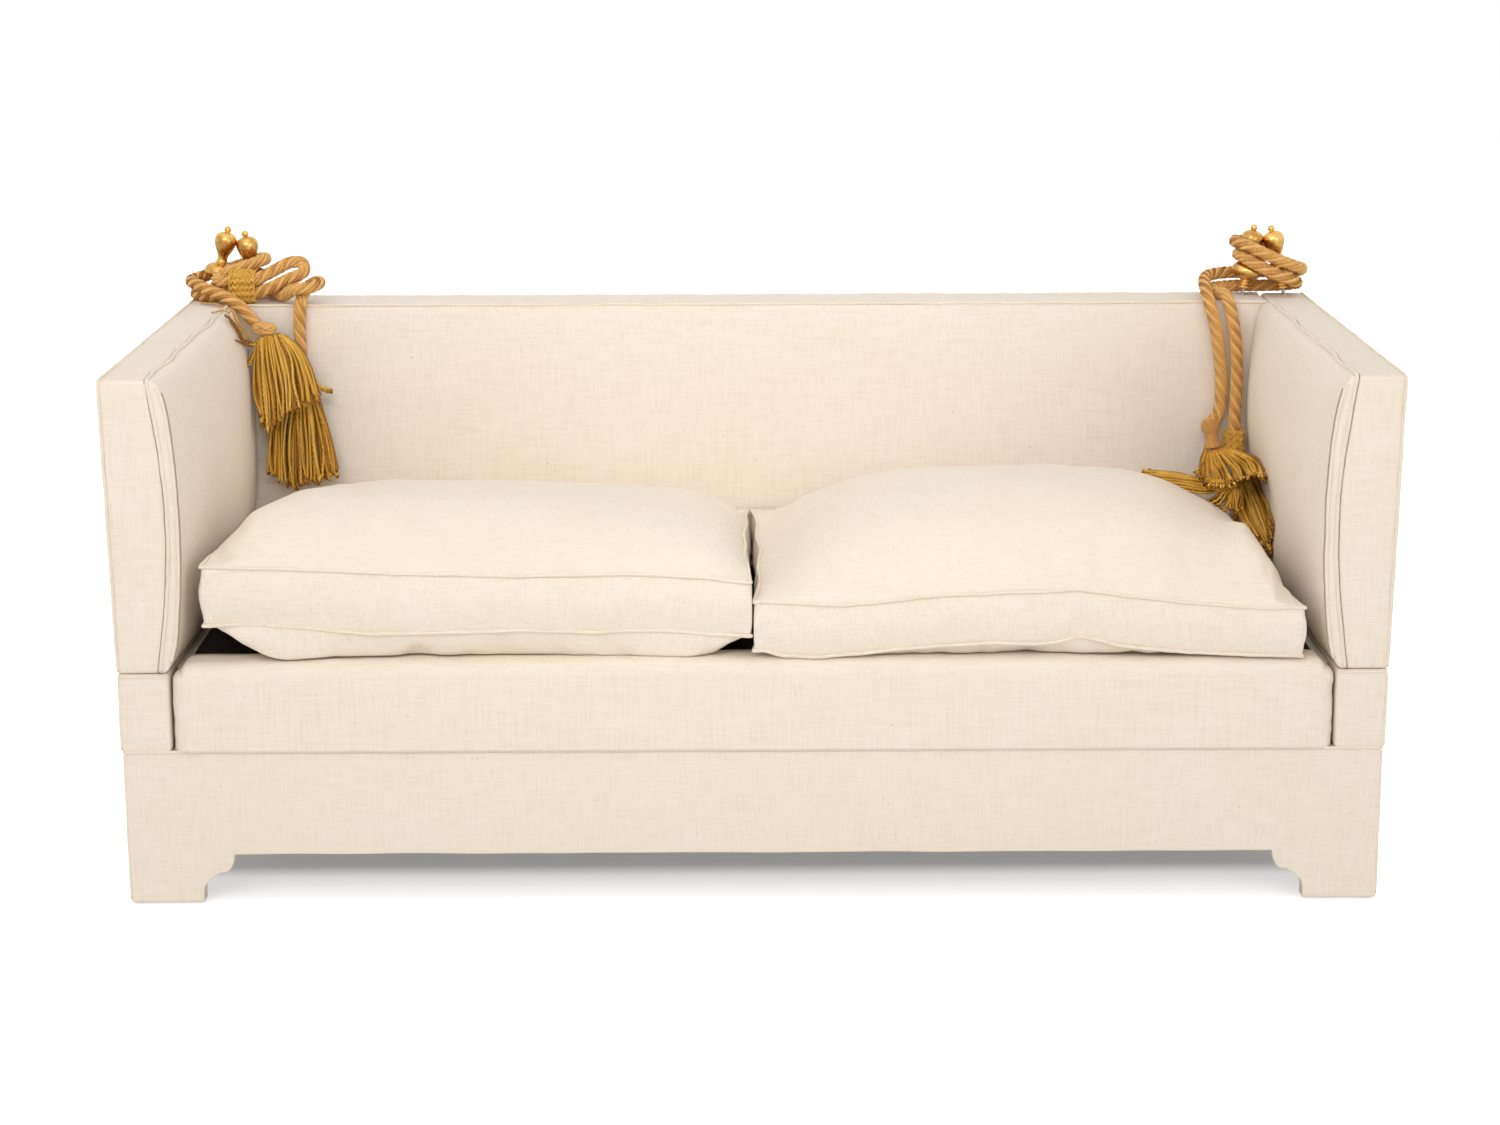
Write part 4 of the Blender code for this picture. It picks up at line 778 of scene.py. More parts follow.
def add_strand(builder, path, radius, slot, rng, twisted):
    """One strand of bullion: plain, or two yarns twisted together."""
    path = resampled(path, 0.0016 if twisted else 0.0034)
    way = tangents(path)
    # Turns the strand's map so that its painted side shade is lightest towards STRAND_FRONT
    e2 = unit(STRAND_FRONT - way * (way @ STRAND_FRONT)[:, None])
    along = travelled(path)[:, None]
    sides = 8 if twisted else 6
    if twisted:
        around = 2 * pi * np.arange(sides)[None, :] / sides
        radii = radius * (0.76 + 0.34 * np.cos(2 * around - 2 * pi * along / STRAND_LAY))
    else:
        radii = np.full((len(path), sides), radius) * (1 + 0.08 * np.sin(along * 500 + rng.uniform(0, 6)))
    radii[0] *= 0.7
    builder.sweep(path, np.cross(way, e2), e2, radii, slot)


def loops_of(builder, middle, sizes, tilt, count, radius):
    """Cords worked over and under round a flattened ball."""
    angle = np.linspace(0, 2 * pi, 40)
    for k in range(count):
        turn = 2 * pi * k / count
        first = np.array([-sin(turn), cos(turn), 0.0])
        second = np.array([cos(turn) * cos(tilt), sin(turn) * cos(tilt), sin(tilt)])
        ring = first * np.cos(angle)[:, None] + second * np.sin(angle)[:, None]
        lift = 1 + 0.07 * np.cos(angle * 4 + turn)
        builder.tube(middle + ring * lift[:, None] * np.array(sizes), radius, 7, SATIN)


KNOT_MIDDLE, KNOT_REACH = np.array((-0.852, 0.294, 0.802)), np.array((-0.017, 0, 0))


def knot_head(builder):
    """A flattened knot of cords with its filling."""
    loops_of(builder, KNOT_MIDDLE, (0.0200, 0.0125, 0.0110), radians(38), 7, 0.0021)
    loops_of(builder, KNOT_MIDDLE, (0.0190, 0.0120, 0.0100), radians(68), 5, 0.0019)
    turns = np.linspace(0, pi, 12)
    filling = [KNOT_MIDDLE + KNOT_REACH * cos(t) for t in turns]
    builder.tube(filling, 0.0095 * np.sin(turns) + 0.0005, 24, SATIN)


MOULD_TOP, MOULD_LOW = np.array((0.8128, 0.303, 0.6350)), np.array((0.8190, 0.291, 0.5830))
# The turned mould: its radius at shares of its height
MOULD_SHAPE = (
    (0.0, 0.004), (0.03, 0.0085), (0.09, 0.0125), (0.18, 0.0150), (0.28, 0.0158), (0.38, 0.0150),
    (0.47, 0.0122), (0.53, 0.0092), (0.56, 0.0088), (0.60, 0.0108), (0.66, 0.0112), (0.71, 0.0094),
    (0.74, 0.0094), (0.82, 0.0118), (0.92, 0.0148), (1.0, 0.0160),
)
MOULD_TURNS, MOULD_YARN = 24, 0.0011


def turned_head(builder):
    """A turned mould with a ring, and fine yarn wound round it."""
    down = MOULD_LOW - MOULD_TOP
    shares, radii = np.array(MOULD_SHAPE).T
    builder.tube(MOULD_TOP + down * shares[:, None], radii, 24, SATIN)
    share = np.linspace(0.02, 0.98, MOULD_TURNS * 16)
    radius = np.interp(share, shares, radii) + 0.0006
    angle = 2 * pi * MOULD_TURNS * share
    side = unit(np.cross(down, (0.0, 1.0, 0.0)))
    deep = unit(np.cross(down, side))
    ring = side * np.cos(angle)[:, None] + deep * np.sin(angle)[:, None]
    builder.tube(MOULD_TOP + down * share[:, None] + radius[:, None] * ring, MOULD_YARN, 5, SATIN)


# Wound heads: how far the rope's line is kept up, the tassel's hem, half its spread, and the hem's tilt
WOUND_HEADS = {
    "left_tassel_inner": (0.060, (-0.781, 0.287, 0.5165), 0.062, 0.0),
    "right_tassel_inner": (0.048, (0.844, 0.205, 0.494), 0.028, -0.80),
}
HEAD_RADIUS = 0.0165
HEAD_SHARES = ((0.0, 0.45), (0.02, 0.85), (0.06, 1.0), (0.10, 0.94), (0.135, 0.80))
HEAD_END, HEAD_TURNS, HEAD_CORD = 0.135, 8, 0.0019
SKIRT_SHARE, SKIRT_FLATNESS, SKIRT_START = 0.42, 0.46, 0.06


def wound_head(builder, name, before, tip):
    """Cord wound round a mould, whose line bends from the rope's way towards the hem."""
    reach, hem, spread, tilt = WOUND_HEADS[name]
    way = unit(tip - before)
    top, waist, hem = tip + way * FIT, tip + way * reach, np.array(hem)
    level = np.array((cos(tilt), 0.0, sin(tilt)))
    skirt = spread * SKIRT_SHARE
    skirt_depth = max(skirt * SKIRT_FLATNESS, HEAD_RADIUS * SKIRT_SHARE)

    def half_sizes(s):
        head = np.interp(s, *zip(*HEAD_SHARES)) * HEAD_RADIUS
        mix = ease((s - HEAD_END) / SKIRT_START)
        return head + (skirt - head) * mix, head + (skirt_depth - head) * mix

    def spot(s, across, deep):
        half, half_deep = half_sizes(s)
        s = s[:, None]
        line = top * (1 - s) ** 2 + waist * 2 * s * (1 - s) + hem * s**2
        run = unit((waist - top) * 2 * (1 - s) + (hem - waist) * 2 * s)
        wide = unit(level - run * (run @ level)[:, None])
        return line + wide * (half * across)[:, None] + np.cross(run, wide) * (half_deep * deep)[:, None]

    shares = np.linspace(0.0, HEAD_END, 60)
    angle = 2 * pi * shares / HEAD_END * HEAD_TURNS
    builder.tube(spot(shares, np.cos(angle), np.sin(angle)), HEAD_CORD, 6, SATIN)
    at = np.linspace(0.002, 0.15, 12)
    # A core in the darker yarn of painted shade, filling the skirt where only shade shows between the strands
    builder.tube(spot(at, 0 * at, 0 * at), half_sizes(at)[0] * 0.94, 24, PAINTED_SHADE)


def make_head(builder, name):
    if name == "left_tassel_outer":
        knot_head(builder)
    elif name == "right_tassel_outer":
        turned_head(builder)
    else:
        wound_head(builder, name, *np.array(ROUTES[name.split("_")[0]][-2:]))


def guides_of(lock):
    step = SHORT_STEP if lock == "short" else 0.0
    rows = [[(x, y, z) for (x, z), y in zip(row, LOCK_DEPTHS[lock])] for row in LOCKS[lock]]
    return np.array(rows) + [[(0, k * step, 0)] for k in range(len(rows))]


def make_tassel(name, seed):
    rng = np.random.default_rng(seed)
    builder = Builder()
    make_head(builder, name)
    for lock, count, back, dark in TASSEL_LOCKS[name]:
        guides = guides_of(lock)
        for i in range(count):
            t = np.clip((i + rng.uniform(-0.35, 0.35)) / (count - 1), 0, 1) * (len(guides) - 1)
            k = min(int(t), len(guides) - 2)
            route = guides[k] + (guides[k + 1] - guides[k]) * (t - k)
            twisted = rng.random() < TWISTED_SHARE
            radius = rng.uniform(*(TWISTED_RADII if twisted else PLAIN_RADII))
            route = route + rng.normal(size=(4, 3)) * STRAND_WANDER * LOOSE
            route[:, 1] += back * LOOSE[:, 0] + (STRAND_RADIUS - radius) * 0.6
            route[3] += (route[3] - route[2]) * rng.uniform(-0.20, 0.06)
            path = strand_path(route, radius)
            # By its lock's share a strand takes the darker yarn of painted shade, else pale or gold yarn at
            # random
            shade = PAINTED_SHADE if rng.random() < dark else PALE if rng.random() < PALE_SHARE else GOLD
            add_strand(builder, path, radius, shade, rng, twisted)
            loop = loop_end(path, rng, 0.0028 if twisted else 0.0023)
            # Half the hem loops take the darker yarn of painted shade
            add_strand(builder, loop, radius * 0.92, PAINTED_SHADE if rng.random() < 0.5 else shade, rng, False)
    for route, radius, shade in STRAYS if name == "left_tassel_outer" else ():
        add_strand(builder, strand_path(route, radius), radius, shade, rng, radius > 0.002)
    piece = builder.build(f"{name}_bullion", (bullion, painted_shade_bullion, satin_ply, light_bullion))
    return settle(piece, BASE, name, slot="tassel")


TASSEL_PIECES = {name: make_tassel(name, seed) for seed, name in enumerate(TASSEL_LOCKS, 11)}

# Slides: a braid of crossing yarns round the strands that pass through
SLIDE_LENGTH, SLIDE_RADIUS = 0.043, ROPE_RADIUS + 0.0036
SLIDE_REACH = 0.50  # how far round a yarn gets from end to end
SLIDE_STEPS = 60
YARN_RADIUS, YARN_APART, YARN_OVER, SLIDE_BULGE = 0.0015, 0.0028, 0.0013, 0.0014
HEM_RADIUS, HEM_OUT, LINING_OUT = 0.0018, 0.0006, -0.0016


def make_slide(name, middle, along, beside, pitch, yarns):
    """A sleeve round one strand, or round a row of them whose ends lie a pitch apart."""
    middle, along, beside = (np.array(v, float) for v in (middle, along, beside))
    along = unit(along)
    beside = unit(beside - along * (beside @ along))
    third = np.cross(along, beside)
    builder = Builder()
    arc = pi * SLIDE_RADIUS

    def spot(share, way, out):
        """A point at a share of the way round the band and a share of its length."""
        run = (share % 1.0) * 2 * (arc + pitch)
        if run < arc:
            angle, shift = run / SLIDE_RADIUS - pi / 2, pitch / 2
        elif run < arc + pitch:
            angle, shift = pi / 2, pitch / 2 - (run - arc)
        elif run < 2 * arc + pitch:
            angle, shift = (run - arc - pitch) / SLIDE_RADIUS + pi / 2, -pitch / 2
        else:
            angle, shift = -pi / 2, (run - 2 * arc - pitch) - pitch / 2
        r = SLIDE_RADIUS + out
        centre = middle + along * (way * SLIDE_LENGTH / 2)
        return centre + beside * (shift + r * cos(angle)) + third * r * sin(angle)

    for hand in (1, -1):
        for i in range(yarns):
            path = []
            for k in range(SLIDE_STEPS + 1):
                t = k / SLIDE_STEPS
                share = (i + 0.5 * (hand < 0)) / yarns + hand * t * SLIDE_REACH
                over = hand * cos(2 * pi * t * SLIDE_REACH * yarns) * 1.5
                bulge = SLIDE_BULGE * (1 - (2 * t - 1) ** 2)
                path.append(spot(share, 2 * t - 1, YARN_OVER * over + bulge))
            path = np.array(path)
            frames = carried_frames(path)
            aside = unit(np.cross(tangents(path), path - middle)) * YARN_APART
            for shift in (-1, 0, 1):
                builder.sweep(path + aside * shift, *frames, np.full((len(path), 6), YARN_RADIUS))
    for way in (-1, 1):
        builder.tube([spot(k / 60, way, HEM_OUT) for k in range(61)], HEM_RADIUS, 6)
    lining = [spot(k / 48, way, LINING_OUT) for way in np.linspace(-1, 1, 6) for k in range(48)]
    builder.add(np.array(lining), tube_faces(6, 48))
    return settle(builder.build(f"{name}_braided", (braid_yarn,)), BASE, name, slot="braid")


SLIDE_PIECES = {
    "left": make_slide("left_rope_slide", (-0.896, 0.3523, 0.8678), (1, 0, 0), (0, 0, 1), 0.023, 12),
    "right": make_slide("right_rope_slide", (0.857, 0.3025, 0.590), (0, 0.02, 1), (1, 0, 0), 0.0, 8),
}


def declare_ropes():
    for piece, line, side_name, sign, arm, part, lay, which, stands_for in ROPES:
        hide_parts(*(f"{side_name}_{node}" for node in stands_for))
        if part == "winding":
            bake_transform(piece)
        else:
            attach(piece, BASE)


declare_ropes()


# Finials
FINIAL_SIDES = 48
PIN_HOLE = 0.0032
FINIAL_Y = REAR_Y - 0.030
# Each finial's distance from the middle, its lean outwards, and how much of its pin shows at left and right
BACK_FINIAL = (0.882, radians(8), {"left": 0.008, "right": 0.013})
ARM_FINIAL = (0.957, -radians(13), {"left": 0.018, "right": 0.013})
FINIAL_PROFILE = (
    (0.0105, 0.0), (0.0125, 0.0012), (0.0125, 0.0042), (0.0104, 0.0056), (0.0118, 0.0072), (0.0118, 0.0102),
    (0.0088, 0.0124), (0.0094, 0.0160), (0.0150, 0.0172), (0.0215, 0.0202), (0.0256, 0.0248),
    (0.0270, 0.0308), (0.0260, 0.0368), (0.0222, 0.0420), (0.0160, 0.0458), (0.0108, 0.0478),
    (0.0108, 0.0500), (0.0098, 0.0518), (0.0088, 0.0548), (0.0090, 0.0596), (0.0104, 0.0640),
    (0.0136, 0.0700), (0.0170, 0.0778), (0.0192, 0.0862), (0.0190, 0.0930), (0.0160, 0.0990),
    (0.0096, 0.1028), (0.0044, 0.1044), (0.0044, 0.1052), (0.0060, 0.1078), (0.0060, 0.1110),
    (0.0036, 0.1140), (0.0, 0.1150),
)


def finer_profile(profile, per_span=4):
    """The turned profile with its curves rounded and its sharp quirks kept."""
    points = np.array(profile)
    found = []
    count = len(points)
    for i in range(count - 1):
        a, b, c, d = (points[min(max(j, 0), count - 1)] for j in (i - 1, i, i + 1, i + 2))
        for k in range(per_span):
            t = k / per_span
            bend = (2 * a - 5 * b + 4 * c - d) * t * t + (3 * b - a - 3 * c + d) * t**3
            spot = 0.5 * (2 * b + (c - a) * t + bend)
            found.append((max(spot[0], 0.0), spot[1]))
    found.append(tuple(points[-1]))
    return np.array(found)


def make_finial(name, side_name, sign, sizes, body, seed):
    across, lean, shows = sizes
    foot = Matrix.Translation((sign * across, FINIAL_Y, TOP_Z)) @ Matrix.Rotation(sign * lean, 4, "Y")
    place = foot @ Matrix.Translation((0, 0, shows[side_name]))
    profile = finer_profile(FINIAL_PROFILE)
    turns = 2 * pi * np.arange(FINIAL_SIDES) / FINIAL_SIDES
    points = []
    for radius, height in profile:
        for turn in turns:
            wear = 1 + 0.004 * noise.noise(Vector((cos(turn) * 2, sin(turn) * 2, height * 90 + seed)))
            points.append(place @ Vector((radius * wear * cos(turn), radius * wear * sin(turn), height)))
    points = np.array(points)
    builder = Builder()
    builder.add(points, tube_faces(len(profile), FINIAL_SIDES))
    floor = np.array([place @ Vector((PIN_HOLE * cos(t), PIN_HOLE * sin(t), 0)) for t in turns])
    builder.add(np.concatenate([points[:FINIAL_SIDES], floor]), tube_faces(2, FINIAL_SIDES)[:, ::-1])
    piece = builder.build(f"{name}_turned", (gilt,))
    piece.data.set_sharp_from_angle(angle=radians(50))
    settle(piece, body, name, slot="gilt")


def make_finials():
    for i, (side_name, sign, arm) in enumerate(SIDES):
        make_finial(f"{side_name}_back_finial", side_name, sign, BACK_FINIAL, BASE, 2 * i)
        make_finial(f"{side_name}_arm_finial", side_name, sign, ARM_FINIAL, arm, 2 * i + 1)


make_finials()


# Linen body
def grid_line(low, high, round_by, cell):
    """Places along an edge: close together in its rounded ends, and about a cell apart between."""
    ends = [round_by * (1 - cos(pi / 2 * k / 4)) for k in range(5)]
    inner = np.linspace(low + round_by, high - round_by, max(int((high - low) / cell), 2))
    return np.concatenate([low + np.array(ends[:-1]), inner, high - np.array(ends[:-1])[::-1]])


def soft_box(name, low, high, round_by, cell, shape=None, steps=(), material=linen):
    """A box with rounded edges on a fine grid, with extra rows at the steps in height.

    shape moves each point, given its place in the plain box.
    """
    low, high = np.array(low, float), np.array(high, float)
    lines = [grid_line(low[k], high[k], round_by, cell) for k in range(3)]
    if len(steps):
        lines[2] = np.unique(np.concatenate([lines[2], steps]))
    counts = [len(line) for line in lines]
    builder = Builder()
    for axis in range(3):
        u, v = (axis + 1) % 3, (axis + 2) % 3
        for end in (0, 1):
            grid = np.empty((counts[u], counts[v], 3))
            grid[..., u] = lines[u][:, None]
            grid[..., v] = lines[v][None, :]
            grid[..., axis] = (low, high)[end][axis]
            faces = sheet_faces(counts[u], counts[v])
            builder.add(grid.reshape(-1, 3), faces if end else faces[:, ::-1])
    plain = np.concatenate(builder.points)
    inner = np.clip(plain, low + round_by, high - round_by)
    out = plain - inner
    length = np.linalg.norm(out, axis=1, keepdims=True)
    points = inner + out / np.maximum(length, 1e-9) * round_by
    if shape is not None:
        points = shape(points, plain)
    _, first, index = np.unique(np.round(points, 6), axis=0, return_index=True, return_inverse=True)
    joined = Builder()
    joined.add(points[first], index.reshape(-1)[np.concatenate(builder.faces)])
    return joined.build(name, (material,))


def waviness(points, size, scale, seed):
    """A soft unevenness of cloth over padding, the same for neighbouring pieces."""
    shift = Vector((seed * 3.1, seed * 1.7, seed * 2.3))
    found = np.empty((len(points), 3))
    for i, p in enumerate(points):
        found[i] = noise.noise_vector(Vector(p) * scale + shift)
    return found * size


def wavy(points, size=0.0009, scale=9.0, seed=0):
    return points + waviness(points, size, scale, seed) + waviness(points, size * 0.45, scale * 3.3, seed + 5)


def welt(name, path, body, closed=False, radius=0.0026, seed=0, material=welt_linen):
    """Piping: a cord in a strip of linen, slightly uneven, along a seam."""
    path = np.array(path, float)
    if closed:
        path = np.concatenate([path, path[:1]])
    path = resampled(path, 0.006)
    if closed:
        path = path[:-1]
    path = path + waviness(path, 0.0009, 22.0, seed) + waviness(path, 0.0004, 80.0, seed + 3)
    if closed:
        path = np.concatenate([path, path[:2]])
    bulge = np.array([noise.noise(Vector(p) * 60) for p in path])
    builder = Builder()
    builder.tube(path, radius * (1 + 0.10 * bulge), 10, caps=not closed)
    return settle(builder.build(name, (material,)), body)


ARM_GRID, PAD_GRID = 0.070, 0.040  # the plain boxes' widths, which arm_shape and pad_shape bring to size


def make_arms():
    for seed, (side_name, sign, arm) in enumerate(SIDES, 1):
        low, high = (0.0, FRONT_Y, SEAM_Z + FIT), (ARM_GRID, REAR_Y, TOP_Z)

        def arm_shape(points, plain):
            share, y, z = points[:, 0] / ARM_GRID, points[:, 1], points[:, 2]
            inner = arm_inside(z) - arm_bow(z, y)
            x = inner + share * (arm_outside(z) - inner)
            shaped = wavy(np.stack([sign * x, y, z], axis=1), 0.0010, 8.0, seed)
            shaped[:, 2] = np.maximum(shaped[:, 2], SEAM_Z + FIT)
            return shaped

        piece = soft_box(f"{side_name}_arm_linen", low, high, 0.007, 0.020, arm_shape)
        settle(piece, arm, f"{side_name}_arm_cover")

        start, end = FRONT_Y + FIT, BACK_FRONT - PAD_TO_BACK
        low, high = (0.0, start, SEAM_Z + 2 * FIT), (PAD_GRID, end, TOP_Z - FIT)

        def pad_shape(points, plain):
            share, y, z = points[:, 0] / PAD_GRID, points[:, 1], points[:, 2]
            near = arm_inside(z) - arm_bow(z, y) + 0.0015
            x = near + share * (pad_face(y, z, TASSEL_PRESS * (sign > 0)) - near)
            shaped = np.stack([sign * x, y, z], axis=1)
            push = waviness(shaped, 0.0022, 6.5, seed + 9) + waviness(shaped, 0.0008, 21.0, seed + 4)
            shaped[:, 0] += push[:, 0] * share
            return shaped

        piece = soft_box(f"{side_name}_arm_pad_linen", low, high, 0.007, 0.014, pad_shape)
        settle(piece, arm, f"{side_name}_arm_pad")
        make_arm_welts(side_name, sign, arm)


# How far a welt's middle line lies inside a cover's edge, and a painted shadow line: a thin dark linen cord
# beside its welt
WELT_IN, SHADOW_LINE_FAR, SHADOW_LINE_RADIUS = 0.0012, 0.0038, 0.0013


def make_arm_welts(side_name, sign, arm):
    heights = np.linspace(SEAM_Z + 0.004, TOP_Z - 0.004, 60)
    front = FRONT_Y + 0.0008
    outer = [(sign * (arm_outside(z) - WELT_IN), front + 0.0005, z) for z in heights]
    top = sign * (arm_outside(TOP_Z) - WELT_IN)
    outer += [(top, y, TOP_Z - WELT_IN) for y in np.linspace(front + 0.004, REAR_Y - 0.002, 50)]
    outer += [(sign * (arm_outside(z) - WELT_IN), REAR_Y - WELT_IN, z) for z in heights[::-1]]
    welt(f"{side_name}_arm_outer_piping", outer, arm, seed=1)

    front = FRONT_Y - 0.0004
    inner = [(sign * (arm_inside(z) - arm_bow(z, FRONT_Y) - 0.0006), front + 0.0006, z) for z in heights]
    for y in np.linspace(front + 0.004, BACK_FRONT - PAD_TO_BACK, 50):
        wander = 0.0034 * sin(26 * y + sign) * sin(9 * (y - front))
        inner.append((sign * (arm_inside(TOP_Z - 0.002) - 0.0010 + wander), y, TOP_Z + 0.0010))
    welt(f"{side_name}_arm_inner_piping", inner, arm, radius=0.0032, seed=2)
    pad = [(sign * (pad_face(front, z) + 0.0022), front + 0.0006, z) for z in heights[2:-1]]
    welt(f"{side_name}_arm_pad_piping", pad, arm, radius=0.0030, seed=3)
    # A thin dark cord beside the inner and pad welts: painted shadow of the seam's groove
    for path, far, name, seed in ((inner, SHADOW_LINE_FAR, "inner", 2), (pad[1:-1], -SHADOW_LINE_FAR, "pad", 3)):
        path = [(x + sign * far, y + 0.0010, z - 0.0004 * (z > TOP_Z - 0.003)) for x, y, z in path]
        painted_shadow_line = f"{side_name}_arm_{name}_crease"
        welt(painted_shadow_line, path, arm, radius=SHADOW_LINE_RADIUS, seed=seed, material=seam_shadow_linen)


make_arms()


def make_back():
    def back_shape(points, plain):
        half = np.where(plain[:, 2] < SEAM_Z, RAIL_INNER - FIT, BACK_HALF)
        u = np.clip(points[:, 0] / BACK_HALF, -1, 1)
        v = np.clip((points[:, 2] - PLINTH_Z) / (TOP_Z - PLINTH_Z) * 2 - 1, -1, 1)
        front = np.clip((REAR_Y - points[:, 1]) / BACK_THICK, 0, 1) ** 2
        crown = BACK_CROWN * (1 - u**4) * (1 - v**4)
        x, y = points[:, 0] * half / BACK_HALF, points[:, 1] - crown * front
        shaped = np.stack([x, y, points[:, 2]], axis=1)
        push = waviness(shaped, 0.0022, 5.0, 31) + waviness(shaped, 0.0007, 19.0, 32)
        shaped[:, 1] += push[:, 1] * front * (1 - u**8) * (1 - v**8)
        return shaped

    steps = np.array([SEAM_Z - 0.0006, SEAM_Z + 0.0006])
    low, high = (-BACK_HALF, BACK_FRONT, PLINTH_Z + 2 * FIT), (BACK_HALF, REAR_Y, TOP_Z)
    piece = soft_box("back_linen", low, high, 0.006, 0.022, back_shape, steps, back_linen)
    settle(piece, BASE, "inside_back", "outside_back")
    edge, top = BACK_HALF - 0.0014, TOP_Z - WELT_IN
    up = np.linspace(SEAM_Z + 0.006, top - 0.004, 40)
    for name, end_y, top_y, seed in (
        ("front", BACK_FRONT + WELT_IN, BACK_FRONT + 0.0008, 5),
        ("rear", REAR_Y - WELT_IN, REAR_Y - WELT_IN, 6),
    ):
        path = [(-edge, end_y, z) for z in up] + [(x, top_y, top) for x in np.linspace(-edge, edge, 120)]
        welt(f"back_{name}_piping", path + [(edge, end_y, z) for z in up[::-1]], BASE, seed=seed)


make_back()

# Plinth, side rails, edge roll and deck
PLINTH_HALF, PLINTH_BOARD, RAIL_CLEAR, FOOT_GAP = 0.9816, 0.028, 0.082, 0.004
FOOT_WIDTH, SIDE_FOOT_WIDTH, SIDE_INSET = 0.116, 0.110, 0.004
# The foot's inner edge: a straight piece, a curve out to a ledge, and a quarter round up to the rail
FOOT_STRAIGHT, CURVE_OUT, LEDGE_OUT, ROUND_OUT = 0.018, 0.028, 0.032, 0.018


def bracket_outline(half, foot, wave):
    """A plinth rail with a bracket foot at each end; the cloth pulled over its lower edge is uneven."""
    inner, straight = half - foot, FOOT_GAP + FOOT_STRAIGHT
    step_z = straight + (RAIL_CLEAR - straight) / 2
    turns = [pi / 2 * i / 6 for i in range(7)]
    side = [(half, FOOT_GAP), (inner, FOOT_GAP), (inner, straight)]
    side += [(inner - CURVE_OUT * sin(t) ** 2, straight + (step_z - straight) * sin(t)) for t in turns[1:]]
    ledge = inner - LEDGE_OUT
    side += [(ledge - ROUND_OUT * sin(t), step_z + (RAIL_CLEAR - step_z) * (1 - cos(t))) for t in turns]
    left = [(-u, v) for u, v in side]
    last = ledge - ROUND_OUT
    count = int(2 * last / 0.025)
    middle = []
    for k in range(1, count):
        u = -last + 2 * last * k / count
        dip = noise.noise(Vector((u * 9 + wave * 7, wave, 0.3))) * 0.0016
        middle.append((u, RAIL_CLEAR + dip * min(1, (last - abs(u)) / 0.05)))
    return [(-half, PLINTH_Z)] + left + middle + side[::-1] + [(half, PLINTH_Z)]


def linen_board(name, outline, axis, start, end, round_by):
    """A board of this outline, from start to end along the axis, with rounded edges."""
    count = len(outline)
    points = [(at, u, v) if axis == 0 else (u, at, v) for at in (start, end) for u, v in outline]
    faces = [list(range(count)), list(range(count, 2 * count))[::-1]]
    for i in range(count):
        j = (i + 1) % count
        faces.append([j, i, count + i, count + j])
    mesh = bpy.data.meshes.new(name)
    mesh.from_pydata(points, [], faces)
    mesh.materials.append(linen)
    made = show(name, mesh)
    work = bmesh.new()
    work.from_mesh(mesh)
    bmesh.ops.recalc_face_normals(work, faces=work.faces)
    work.to_mesh(mesh)
    work.free()
    rounding = made.modifiers.new("rounding", "BEVEL")
    rounding.width, rounding.segments = round_by, 3
    rounding.limit_method, rounding.angle_limit = "ANGLE", radians(24)
    mesh.shade_smooth()
    mesh.set_sharp_from_angle(angle=radians(60))
    return made


def make_plinth():
    outline = bracket_outline(PLINTH_HALF, FOOT_WIDTH, 1)
    for name, start in (("plinth_front", FRONT_Y), ("plinth_rear", REAR_Y - PLINTH_BOARD)):
        piece = linen_board(f"{name}_linen", outline, 1, start, start + PLINTH_BOARD, 0.0035)
        settle(piece, BASE, name)
    outline = bracket_outline(-FRONT_Y - SIDE_INSET, SIDE_FOOT_WIDTH - SIDE_INSET, 2)
    for side_name, sign, arm in SIDES:
        start, end = sorted((sign * PLINTH_HALF, sign * (PLINTH_HALF - PLINTH_BOARD)))
        piece = linen_board(f"plinth_{side_name}_linen", outline, 0, start + 0.0002, end - 0.0002, 0.003)
        settle(piece, BASE, f"plinth_{side_name}")
    ring = []
    corner = 0.006
    reach_x, reach_y = PLINTH_HALF - 0.0002 - corner, -FRONT_Y - 0.0002 - corner
    for sx, sy, turn in ((-1, -1, pi), (1, -1, 1.5 * pi), (1, 1, 0.0), (-1, 1, 0.5 * pi)):
        for k in range(6):
            angle = turn + pi / 2 * k / 5
            x, y = sx * reach_x + corner * cos(angle), sy * reach_y + corner * sin(angle)
            ring.append((x, y, PLINTH_Z + 0.0006))
    welt("plinth_top_piping", ring, BASE, closed=True, radius=0.0027, seed=7)
    heights = np.linspace(FOOT_GAP + 0.006, PLINTH_Z - 0.004, 30)
    for side_name, sign, arm in SIDES:
        for end_name, sy in (("front", -1), ("rear", 1)):
            path = [(sign * (PLINTH_HALF - 0.0010), sy * (-FRONT_Y - 0.0010), z) for z in heights]
            welt(f"plinth_{end_name}_{side_name}_corner_piping", path, BASE, radius=0.0022, seed=8)


make_plinth()


